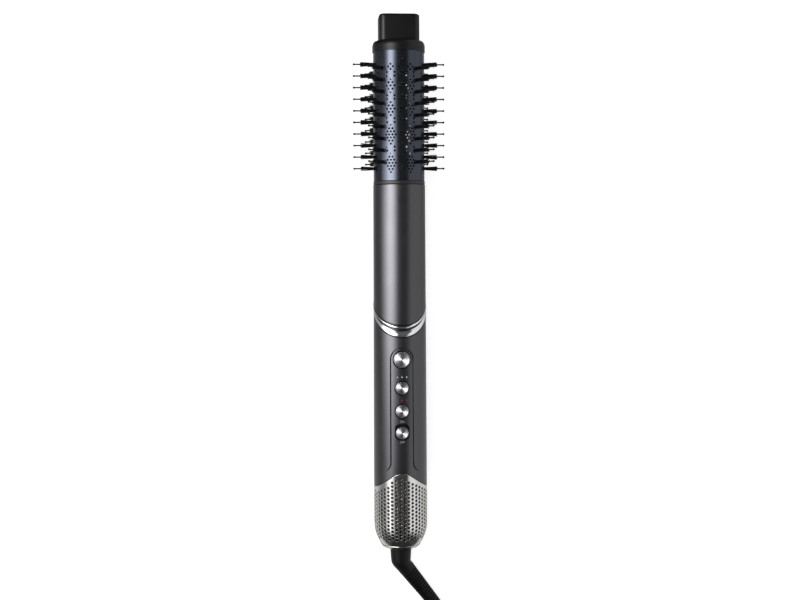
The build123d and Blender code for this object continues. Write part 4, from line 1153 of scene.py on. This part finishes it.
def ball(centre, out, across, up, radius):
    """A small round end on a pin."""
    rows = []
    for level in (math.radians(degrees) for degrees in (-72, -45, -15, 15, 45, 72)):
        rows += ring_row(centre + out * (radius * math.sin(level)), across, up, radius * math.cos(level), 10)
    return capped(rows, 10)


def tuft_layout():
    """Places of eighteen bristles round a pin, packed in a hexagon, sideways from -1 to 1."""
    return [((a + b / 2) / 2, b * math.sqrt(3) / 4) for a in range(-2, 3) for b in range(-2, 3)
            if abs(a + b) <= 2 and (a, b) != (0, 0)]


def tuft(angle, z, dice):
    """Bristles that spread outwards round a long pin with a ball on its end."""
    out = spin(angle, 1, 0)
    up = Vector((0, 0, 1))
    across = up.cross(out)
    foot_r, end_r = BARREL_R - BARREL_WALL - TUFT_DEEP, BARREL_R + TUFT_LONG
    sticks = []
    for a, b in tuft_layout():
        foot = out * foot_r + (across * a + up * b) * (TUFT_BASE_R - BRISTLE_R[0]) + up * z
        spreading = (TUFT_TIP_R - BRISTLE_R[1]) * dice.uniform(*SPREADING)
        stray = across * dice.uniform(-BRISTLE_STRAY, BRISTLE_STRAY)
        stray += up * dice.uniform(-BRISTLE_STRAY, BRISTLE_STRAY)
        short = dice.uniform(0.0, BRISTLE_SHORT)
        tip = out * (end_r - short) + (across * a + up * b) * spreading + up * z + stray
        sticks.append(stick(foot, tip, BRISTLE_R, across, up, 6))
    pin_end = out * (PIN_OUT - PIN_BALL_R) + up * z
    sticks.append(stick(out * foot_r + up * z, pin_end, (PIN_R, PIN_R), across, up, 8))
    sticks.append(ball(pin_end, out, across, up, PIN_BALL_R))
    return joined(*sticks)


def strip(angle):
    """Moulded bar inside the barrel that carries one column of tufts."""
    face = math.sqrt((BARREL_R - BARREL_WALL - STRIP_GAP) ** 2 - STRIP_HALF ** 2)
    low = min(measure("bristle_strips")[0].z, BARREL_LOW_Z + STRIP_FOOT)
    high = BARREL_TOP_Z - LAST_ROW_DOWN + STRIP_OVER
    out = spin(angle, 1, 0)
    across = Vector((0, 0, 1)).cross(out)
    outline = rounded(bar(-STRIP_HALF, STRIP_HALF, face - STRIP_DEEP, face), EDGE, 2)
    rows = [across * x + out * r + Vector((0, 0, z)) for z in (low, high) for x, r in outline]
    return capped(rows, len(outline), flip=True)


def bristles():
    """Eight strips with their tufts; every other column stands half a pitch higher."""
    for column in range(COLUMNS):
        dice = random.Random(FIRST_SEED + column)
        angle = 360 / COLUMNS * column
        tufts = [tuft(angle, z, dice) for z in row_heights(column)]
        shape = joined(strip(angle), *tufts)
        piece(f"bristles_{column + 1}", shape, "bristle_strips", replaces=column == 0)


# ---- tip ----------------------------------------------------------------------------------------


def collar():
    """Collar with two fine lines below a rounded shoulder."""
    low, inner = BARREL_TOP_Z, COLLAR_R - COLLAR_WALL
    rings = []
    for inwards, foot, head, soft in COLLAR_BANDS:
        rings.append(lathe(bar(inner, COLLAR_R - inwards, low + foot, low + head), radius=soft))
    top_r = COLLAR_R - COLLAR_SHOULDER
    tall = COLLAR_TOP_Z - low - COLLAR_FOOT - COLLAR_STRAIGHT
    bend_z = low + (COLLAR_FOOT + COLLAR_STRAIGHT)
    shoulder = [(inner, low + COLLAR_FOOT), (COLLAR_R, low + COLLAR_FOOT)]
    shoulder += [(top_r + COLLAR_SHOULDER * math.cos(t), bend_z + tall * math.sin(t)) for t in quarter(10)]
    rings.append(lathe(shoulder + [(inner, COLLAR_TOP_Z)]))
    piece("collar", joined(*rings), "tip_collar")


def rounded_block(half_x, half_y, corner, inset, z, steps=10):
    """One row of points round a block with rounded corners."""
    row = []
    size = max(0.2, corner - inset)
    for n, (right, up) in enumerate(((1, 1), (-1, 1), (-1, -1), (1, -1))):
        x, y = right * (half_x - inset - size), up * (half_y - inset - size)
        for k in range(steps + 1):
            turn = math.radians(90 * n + 90 * k / steps)
            row.append(Vector((x + size * math.cos(turn), y + size * math.sin(turn), z)))
    return row


def cool_tip():
    """Grip block with rounded corners, a soft upper edge and a foot that is drawn in a little."""
    straight = TIP_TOP_Z - TIP_EDGE
    levels = [(inwards, COLLAR_TOP_Z + up) for inwards, up in TIP_FOOT]
    levels += [(0.0, z) for z in between(COLLAR_TOP_Z + TIP_STRAIGHT, straight, 4)]
    levels += [(TIP_EDGE * (1 - math.cos(t)), straight + TIP_EDGE * math.sin(t)) for t in quarter(8)[1:]]
    rows = [rounded_block(TIP_HALF_X, TIP_HALF_Y, TIP_ROUND, inset, z) for inset, z in levels]
    piece("tip_block", capped([p for row in rows for p in row], len(rows[0])), "cool_tip", sharp=60)


# ---- cord boot and strain relief ----------------------------------------------------------------


def boot():
    """Swivelling neck with a thin ring line below the grille, and its spindle."""
    top = BOOT_TOP_Z
    profile = [
        (0.5, BOOT_LOW_Z),
        (BOOT_FOOT_R - 0.25, BOOT_LOW_Z),
        (BOOT_FOOT_R, BOOT_LOW_Z + 0.25),
        (blend(BOOT_FOOT_R, BOOT_TOP_R, 0.5), BOOT_LOW_Z / 2),
        (BOOT_TOP_R - 0.1, top - 1.25),
        (BOOT_TOP_R - 0.4, top - 1.1),
        (BOOT_TOP_R - 0.4, top - 0.9),
        (BOOT_TOP_R, top - 0.75),
        (BOOT_TOP_R, top - 0.15),
        (BOOT_TOP_R - 0.15, top),
        (SPINDLE_R, top),
        (SPINDLE_R, GRILLE_FLOOR + SPINDLE_UP),
        (0.5, GRILLE_FLOOR + SPINDLE_UP),
    ]
    piece("boot", turned_solid(profile, 128), "cord_boot", sharp=30)


def relief_frame():
    """Start of the strain relief's axis, the way it points, and two directions across it."""
    turn, dip = math.radians(RELIEF_HEADING), math.radians(RELIEF_DIP)
    along = Vector((math.sin(turn) * math.cos(dip), math.sin(dip), -math.cos(turn) * math.cos(dip)))
    beside = Vector((math.cos(turn), 0, math.sin(turn)))
    return Vector((0, 0, BOOT_LOW_Z - 1)), along, beside, along.cross(beside)


def strain_relief():
    """Smooth elbow, then a tapered sleeve with staggered gaps on either side of a spine."""
    start, along, beside, above = relief_frame()
    sides = 72
    turns = [2 * math.pi * k / sides for k in range(sides)]

    def section(t, cut=(0.0, 0.0)):
        row = []
        for turn in turns:
            on_spine = abs(90 - math.degrees(turn) % 180) < SPINE_TURN
            depth = 0 if on_spine else cut[0 if math.cos(turn) > 0 else 1]
            radius = blend(*RELIEF_R, t / RELIEF_LONG) - depth
            row.append(start + along * t + (beside * math.cos(turn) + above * math.sin(turn)) * radius)
        return row

    first = section(ELBOW_LONG)
    foot_x, foot_y = Vector((BOOT_FOOT_R - ELBOW_IN, 0, 0)), Vector((0, BOOT_FOOT_R - ELBOW_IN, 0))
    rows = []
    for s in between(0, 1, ELBOW_STEPS)[:-1]:
        row = []
        for turn, end in zip(turns, first):
            foot = foot_x * math.cos(turn) + foot_y * math.sin(turn) * math.copysign(1, above.y)
            foot = foot + Vector((0, 0, BOOT_LOW_Z))
            reach = (end - foot).length
            below, before = foot + Vector((0, 0, -1)) * reach / 3, end - along * reach / 3
            row.append(foot * (1 - s) ** 3 + below * 3 * s * (1 - s) ** 2 + before * 3 * s * s * (1 - s)
                       + end * s ** 3)
        rows.append(row)
    rows += [first, section(RIB_FROM - 0.6)]
    for n in range(int((RELIEF_LONG - RIB_FROM - RIBS_END) / (RIB_PITCH / 2))):
        t = RIB_FROM + RIB_PITCH / 2 * n
        cut = (0.0, RIB_DEPTH) if n % 2 else (RIB_DEPTH, 0.0)
        rows += [section(t), section(t + RIB_SLOPE, cut), section(t + RIB_GAP - RIB_SLOPE, cut)]
        rows.append(section(t + RIB_GAP))
    rows += [section(RELIEF_LONG - 0.3)]
    middle, end = start + along * RELIEF_LONG, section(RELIEF_LONG)
    rows += [[middle + (p - middle) * share for p in end] for share in (0.93, 0.6)]
    shape = capped([p for row in rows for p in row], sides, flip=above.y > 0)
    piece("relief", shape, "strain_relief", sharp=35)


# ---- cord and plug, in the frame of the table ---------------------------------------------------

LEAD = ((32.48, -254.34, 8.58), (43.21, -268.42, 5.31), (53.5, -282.4, 3.9))
PLUG_AT = (32.0, -7.0, 26.5)  # from the coil's centre
PLUG_SLEEVE = (15.0, 3.6, 5.3)    # length, and half width at the cord and at the body
SLEEVE_RIBS = 11
SLEEVE_PITCH = 1.3
SLEEVE_CUT = 0.55
PLUG_BODY = 36.0
PLUG_END = (6.0, 6.0, 5.4)        # half width, half height and corner of the body at the sleeve
PLUG_FACE = (17.5, 13.0, 11.0)    # and at its face
PLUG_HOLLOW = 1.2
TAIL_RUN = 10.0              # straight run of cord before the plug
COIL_STEP = 15.0             # degrees between the points of the coil
FIRST_STEP = 13.6            # degrees from the end of the lead to the first of them
JOIN_TURN = 37.0             # where the lead meets the coil, from +X
SHIFT_TURN = 110.0           # part of a turn over which the cord moves to the next track or layer
SHIFT_LEAD = 45.0            # and each new kind of move comes that much earlier in its turn
RISE_TURN = 170.0            # the tail leaves the coil over the last part of a turn
COIL_TURNS = 8
TAIL_STEPS = 3               # of the same size, up to the tail's straight run


def coil_keys():
    """(degrees wound, radius, height) along the coil: in, out again on top, and in once more."""
    inner, middle, outer = COIL_TRACKS
    tracks = [(outer, 0), (middle, 0), (inner, 0), (inner, 1), (middle, 1), (outer, 1), (outer, 2)]
    tracks += [(middle, 2), (inner, 2)]
    keys = [(0, outer, LAYER_Z[0])]
    start = 360 - SHIFT_TURN
    last_move = None
    for turn, ((radius, layer), (new_radius, new_layer)) in enumerate(zip(tracks, tracks[1:])):
        move = (new_radius - radius, new_layer - layer)
        if last_move not in (None, move):
            start -= SHIFT_LEAD
        last_move = move
        begins = 360 * turn + start
        keys += [(begins, radius, LAYER_Z[layer]), (begins + SHIFT_TURN, new_radius, LAYER_Z[new_layer])]
    return keys


def coil_points():
    """The coil's turns, clockwise from above, and the tail as it rises over them to the plug."""
    joint = Vector(PLUG_AT) - plug_frame()[1] * TAIL_RUN
    last = 360 * COIL_TURNS + JOIN_TURN - math.degrees(math.atan2(joint.y, joint.x))
    places = [FIRST_STEP]
    while places[-1] + COIL_STEP < last - TAIL_STEPS * COIL_STEP + 1:
        places.append(places[-1] + COIL_STEP)
    for _ in range(TAIL_STEPS - 1):
        places.append(places[-1] + COIL_STEP)
    keys = coil_keys() + [(last, COIL_TRACKS[0], LAYER_Z[2])]
    # a quadratic curve runs inside the points that steer it, so they lie further out than the track
    swell = 1 / (0.75 + 0.25 * math.cos(math.radians(COIL_STEP)))
    points = []
    for wound in places:
        before, after = next(pair for pair in zip(keys, keys[1:]) if pair[1][0] > wound)
        share = ease((wound - before[0]) / (after[0] - before[0]))
        radius = blend(before[1], after[1], share)
        height = blend(before[2], after[2], share)
        rise = max(0.0, 1 - (last - wound) / RISE_TURN)
        radius = blend(radius, math.hypot(joint.x, joint.y), rise) * swell
        height = blend(height, joint.z, rise)
        turn = math.radians(JOIN_TURN - wound)
        points.append((radius * math.cos(turn), radius * math.sin(turn), height))
    return points


def on_table(point):
    """From the coil's centre to the frame of the table, in metres."""
    return Vector((COIL_CENTRE[0] + point[0], COIL_CENTRE[1] + point[1], point[2])) * MM


def plug_frame():
    """Where the cord enters the plug, and the way that the plug points."""
    rise = math.radians(PLUG_RISE)
    return on_table(PLUG_AT), Vector((0, -math.cos(rise), math.sin(rise)))


def cord(with_pieces):
    """The whole cord from the strain relief to the plug, as one smooth curve."""
    at, pointing = plug_frame()
    route = [Vector(point) * MM for point in LEAD] + [on_table(point) for point in coil_points()]
    route += [at - pointing * TAIL_RUN * MM, at]
    curve = bpy.data.curves.new("cord", "CURVE")
    curve.dimensions = "3D"
    curve.resolution_u = 4
    curve.bevel_depth = CORD_D / 2 * MM
    curve.bevel_resolution = 5
    spline = curve.splines.new("NURBS")
    spline.points.add(len(route) - 1)
    for point, place in zip(spline.points, route):
        point.co = (*place, 1)
    spline.order_u = 3
    spline.use_endpoint_u = True
    curve.materials.append(FINISHES["cord_rubber"])
    made = placed("cord", curve)
    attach(made, "cord")
    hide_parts("cord_lead", "cord_coil", "cord_tail")


def plug():
    """Moulded plug: a ribbed sleeve, a body that widens to its face, and a grip hollow."""
    at, pointing = plug_frame()
    across = Vector((1, 0, 0))
    above = pointing.cross(across)
    long, narrow, wide = PLUG_SLEEVE
    sections = []
    for n in range(SLEEVE_RIBS):
        t = 0.6 + n * SLEEVE_PITCH
        for along, cut in ((t, 0.0), (t + 0.75, 0.0), (t + 0.8, SLEEVE_CUT), (t + 1.25, SLEEVE_CUT)):
            half = blend(narrow, wide, along / long) - cut
            sections.append((along, half, half, half))
    for k in range(13):
        share = k / 12
        hollow = PLUG_HOLLOW * math.sin(math.pi * min(1.0, share / 0.8)) ** 2
        growth = ease(0.15 + 0.85 * share) ** 0.8
        half_x, half_y, corner = (blend(a, b, growth) for a, b in zip(PLUG_END, PLUG_FACE))
        sections.append((long + PLUG_BODY * share * 0.96, half_x - hollow, half_y - hollow / 2, corner))
    _, half_x, half_y, corner = sections[-1]
    sections.append((long + PLUG_BODY * 0.99, half_x - 0.3, half_y - 0.3, corner))
    sections.append((long + PLUG_BODY, half_x - 1.0, half_y - 1.0, corner - 0.6))
    steps = 12
    points = []
    for along, half_x, half_y, corner in sections:
        row = rounded_block(half_x, half_y, min(corner, half_x, half_y), 0.0, 0.0, steps)
        points += [at + (across * p.x + above * p.y + pointing * along) * MM for p in row]
    points = [UPRIGHT.inverted() @ p for p in points]
    return piece("plug", capped(points, 4 * (steps + 1)), "plug_body", sharp=30)


# ---- stage --------------------------------------------------------------------------------------

FLOOR_HALF = 6.0             # metres
FLOOR_GLOW = 0.52            # keeps the floor white for the camera
FILL = 0.55
STUDIO_R = 0.9
SOFTBOX = (0.5, 1.6)         # metres
LEFT_LAMP = ((-0.62, -0.05, 0.72), 5.6)   # place in metres, and watts
RIGHT_LAMP = ((0.7, 0.05, 0.62), 2.2)


def floor():
    """Plain white floor that keeps the shadows."""
    mesh = bpy.data.meshes.new("floor")
    corners = [(x * FLOOR_HALF, y * FLOOR_HALF, 0) for x, y in ((-1, -1), (1, -1), (1, 1), (-1, 1))]
    mesh.from_pydata(corners, [], [[0, 1, 2, 3]])
    material, tree, shader = new_material("floor")
    set_inputs(shader, Base_Color=(0.85, 0.85, 0.85, 1), Roughness=0.9, Specular_IOR_Level=0.1,
               Emission_Color=(1, 1, 1, 1))
    tree.links.new(seen_directly(tree, FLOOR_GLOW), shader.inputs["Emission Strength"])
    mesh.materials.append(material)
    made = placed("floor", mesh)
    made.visible_glossy = False


def seen_directly(tree, strength, otherwise=0.0):
    """Strength for what the camera, glossy and transmission rays see, and another for the rest."""
    path = put(tree, "LightPath")
    total = path.outputs["Is Camera Ray"]
    for kind in ("Is Glossy Ray", "Is Transmission Ray"):
        either = put(tree, "Math")
        either.operation = "MAXIMUM"
        tree.links.new(total, either.inputs[0])
        tree.links.new(path.outputs[kind], either.inputs[1])
        total = either.outputs[0]
    scaled = put(tree, "MapRange", To_Min=otherwise, To_Max=strength)
    tree.links.new(total, scaled.inputs["Value"])
    return scaled.outputs["Result"]


def world():
    """White behind the object, and a dim fill from all sides."""
    made = bpy.data.worlds.new("studio")
    made.use_nodes = True
    tree = made.node_tree
    background = tree.nodes["Background"]
    set_inputs(background, Color=(1, 1, 1, 1))
    tree.links.new(seen_directly(tree, 1.0, FILL), background.inputs["Strength"])
    bpy.context.scene.world = made


# brightness of the studio's walls by direction: degrees from straight up, towards +X
END_WALLS = (
    (-180, 0.04), (-168, 0.04), (-158, 0.8), (-130, 0.7), (-118, 0.1), (118, 0.06), (132, 0.7), (158, 0.8),
    (168, 0.04), (180, 0.04),
)
INLET_WALLS = (
    (-180, 0.05), (-168, 0.05), (-160, 0.75), (-118, 0.6), (-100, 0.3), (-76, 0.22), (-66, 0.6),
    (-58, 1.3), (-42, 1.5), (-35, 0.8), (-28, 0.06), (26, 0.06), (33, 0.9), (56, 1.0), (72, 0.8),
    (130, 0.7), (160, 0.5), (168, 0.05), (180, 0.05),
)
GRIP_WALLS = (
    (-180, 0.6), (-146, 0.6), (-136, 0.26), (-92, 0.26), (-84, 1.2), (-62, 5.7), (-50, 9.6), (-36, 9.8),
    (-24, 5.8), (-14, 1.4), (-9, 0.12), (33, 0.12), (42, 0.85), (96, 0.8), (112, 0.45), (180, 0.3),
)
BRUSH_WALLS = (
    (-180, 0.5), (-146, 0.5), (-136, 0.3), (-66, 0.3), (-52, 3.0), (-46, 8.5), (-32, 8.5), (-22, 2.0),
    (-14, 0.4), (-9, 0.1), (33, 0.1), (42, 0.8), (96, 0.75), (112, 0.4), (180, 0.3),
)
CLOTH = 0.03
CLOTH_WALLS = ((-180, CLOTH), (-9, CLOTH), (33, CLOTH), (42, 0.8), (112, 0.4), (180, 0.3))
# which of them stands where, in metres along the object
STATIONS = (
    (-1.6, END_WALLS), (-1.0, END_WALLS), (-0.55, INLET_WALLS), (-0.3, INLET_WALLS), (0.02, GRIP_WALLS),
    (0.12, GRIP_WALLS), (0.18, BRUSH_WALLS), (0.42, BRUSH_WALLS), (0.56, CLOTH_WALLS), (1.6, CLOTH_WALLS),
)


def wall_level(walls, angle):
    """Brightness of a wall in this direction."""
    (low, dim), (high, bright) = next(pair for pair in zip(walls, walls[1:]) if pair[1][0] >= angle)
    return blend(dim, bright, (angle - low) / (high - low))


def studio_walls():
    """Cylinder round the object, bright and dark by direction, which only the gloss sees."""
    angles = range(-180, 181, 2)
    points, levels = [], []
    for y, walls in STATIONS:
        for angle in angles:
            turn = math.radians(angle)
            points.append((STUDIO_R * math.sin(turn), y, STUDIO_R * math.cos(turn)))
            levels.append(wall_level(walls, angle))
    count = len(angles)
    faces = [[row * count + k, row * count + k + 1, (row + 1) * count + k + 1, (row + 1) * count + k]
             for row in range(len(STATIONS) - 1) for k in range(count - 1)]
    for y in (STATIONS[0][0], STATIONS[-1][0]):
        faces.append(list(range(len(points), len(points) + 36)))
        for k in range(36):
            turn = math.radians(10 * k)
            points.append((STUDIO_R * math.sin(turn), y, STUDIO_R * math.cos(turn)))
            levels.append(CLOTH)
    mesh = bpy.data.meshes.new("studio_walls")
    mesh.from_pydata(points, [], faces)
    mesh.attributes.new("level", "FLOAT", "POINT").data.foreach_set("value", levels)
    material, tree, _ = new_material("studio_walls")
    tree.nodes.clear()
    result, glow, level = (put(tree, kind) for kind in ("OutputMaterial", "Emission", "Attribute"))
    level.attribute_name = "level"
    tree.links.new(level.outputs["Fac"], glow.inputs["Strength"])
    tree.links.new(glow.outputs[0], result.inputs["Surface"])
    mesh.materials.append(material)
    made = placed("studio_walls", mesh)
    made.visible_camera = False
    made.visible_diffuse = False
    made.visible_shadow = False
    made.visible_transmission = False


def soft_light(name, place, power):
    """A rectangular soft light that points at the middle of the table."""
    lamp = bpy.data.lights.new(name, "AREA")
    lamp.shape = "RECTANGLE"
    lamp.size, lamp.size_y = SOFTBOX
    lamp.energy = power
    made = placed(name, lamp)
    made.location = place
    made.rotation_euler = (-Vector(place)).to_track_quat("-Z", "Y").to_euler()
    made.visible_glossy = False


CAMERA_AWAY = 952.0          # millimetres
CAMERA_ROLL = 4.35           # towards -X, round the object's long axis
CAMERA_MIDDLE = (0.25, 187.8)   # what it looks at: sideways, and up the object
FOCAL_PIXELS = 1259.0
IMAGE_WIDE = 800.0
SENSOR = 36.0
IMAGE_TURN = -0.27


def camera():
    """Looks straight down on the controls, a little from their left."""
    data = bpy.data.cameras.new("camera")
    data.sensor_width = SENSOR
    data.lens = FOCAL_PIXELS / IMAGE_WIDE * SENSOR
    target = UPRIGHT @ Vector((CAMERA_MIDDLE[0], 0, CAMERA_MIDDLE[1]))
    roll = math.radians(CAMERA_ROLL)
    away = Vector((-math.sin(roll), 0, math.cos(roll)))
    right = LONG.cross(away).normalized()
    looking = Matrix((right, away.cross(right), away)).transposed().to_4x4()
    spun = Matrix.Rotation(math.radians(IMAGE_TURN), 4, away)
    made = placed("camera", data)
    made.matrix_world = Matrix.Translation(target + away * CAMERA_AWAY * MM) @ spun @ looking
    bpy.context.scene.camera = made


camera()
world()
floor()
studio_walls()
soft_light("left_softbox", *LEFT_LAMP)
soft_light("right_softbox", *RIGHT_LAMP)

grip()
pocket_floor()
panel()
trim_ring()
ring_core()
upper_tube()
grille()
filter_foot()
turned_cap("top_cap", "top_button")
turned_cap("speed_cap", "speed_button")
turned_cap("heat_cap", "heat_button")
turned_cap("switch_knob", "power_switch")
bezels()
lamps("white_lamps", "speed_lamps")
lamps("red_lamps", "heat_lamps")
recess_low, recess_high = measure("slide_frame")
switch_mark("ON", recess_high.z + MARK_AWAY)
switch_mark("OFF", recess_low.z - MARK_AWAY)
lock_ring()
line_mark("lock_mark", "lock_ring", LOCK_R, LOCK_LOW_Z + LOCK_LINE_END, LOCK_TOP_Z - LOCK_LINE_END)
line_mark("barrel_mark", "brush_barrel", BARREL_R, *(BARREL_LOW_Z + up for up in BARREL_LINE))
barrel()
bristles()
collar()
cool_tip()
boot()
strain_relief()
cord([plug(), frame["nodes"]["plug_pins"], frame["nodes"]["cord_ties"]])

bpy.context.scene.view_settings.view_transform = "Standard"
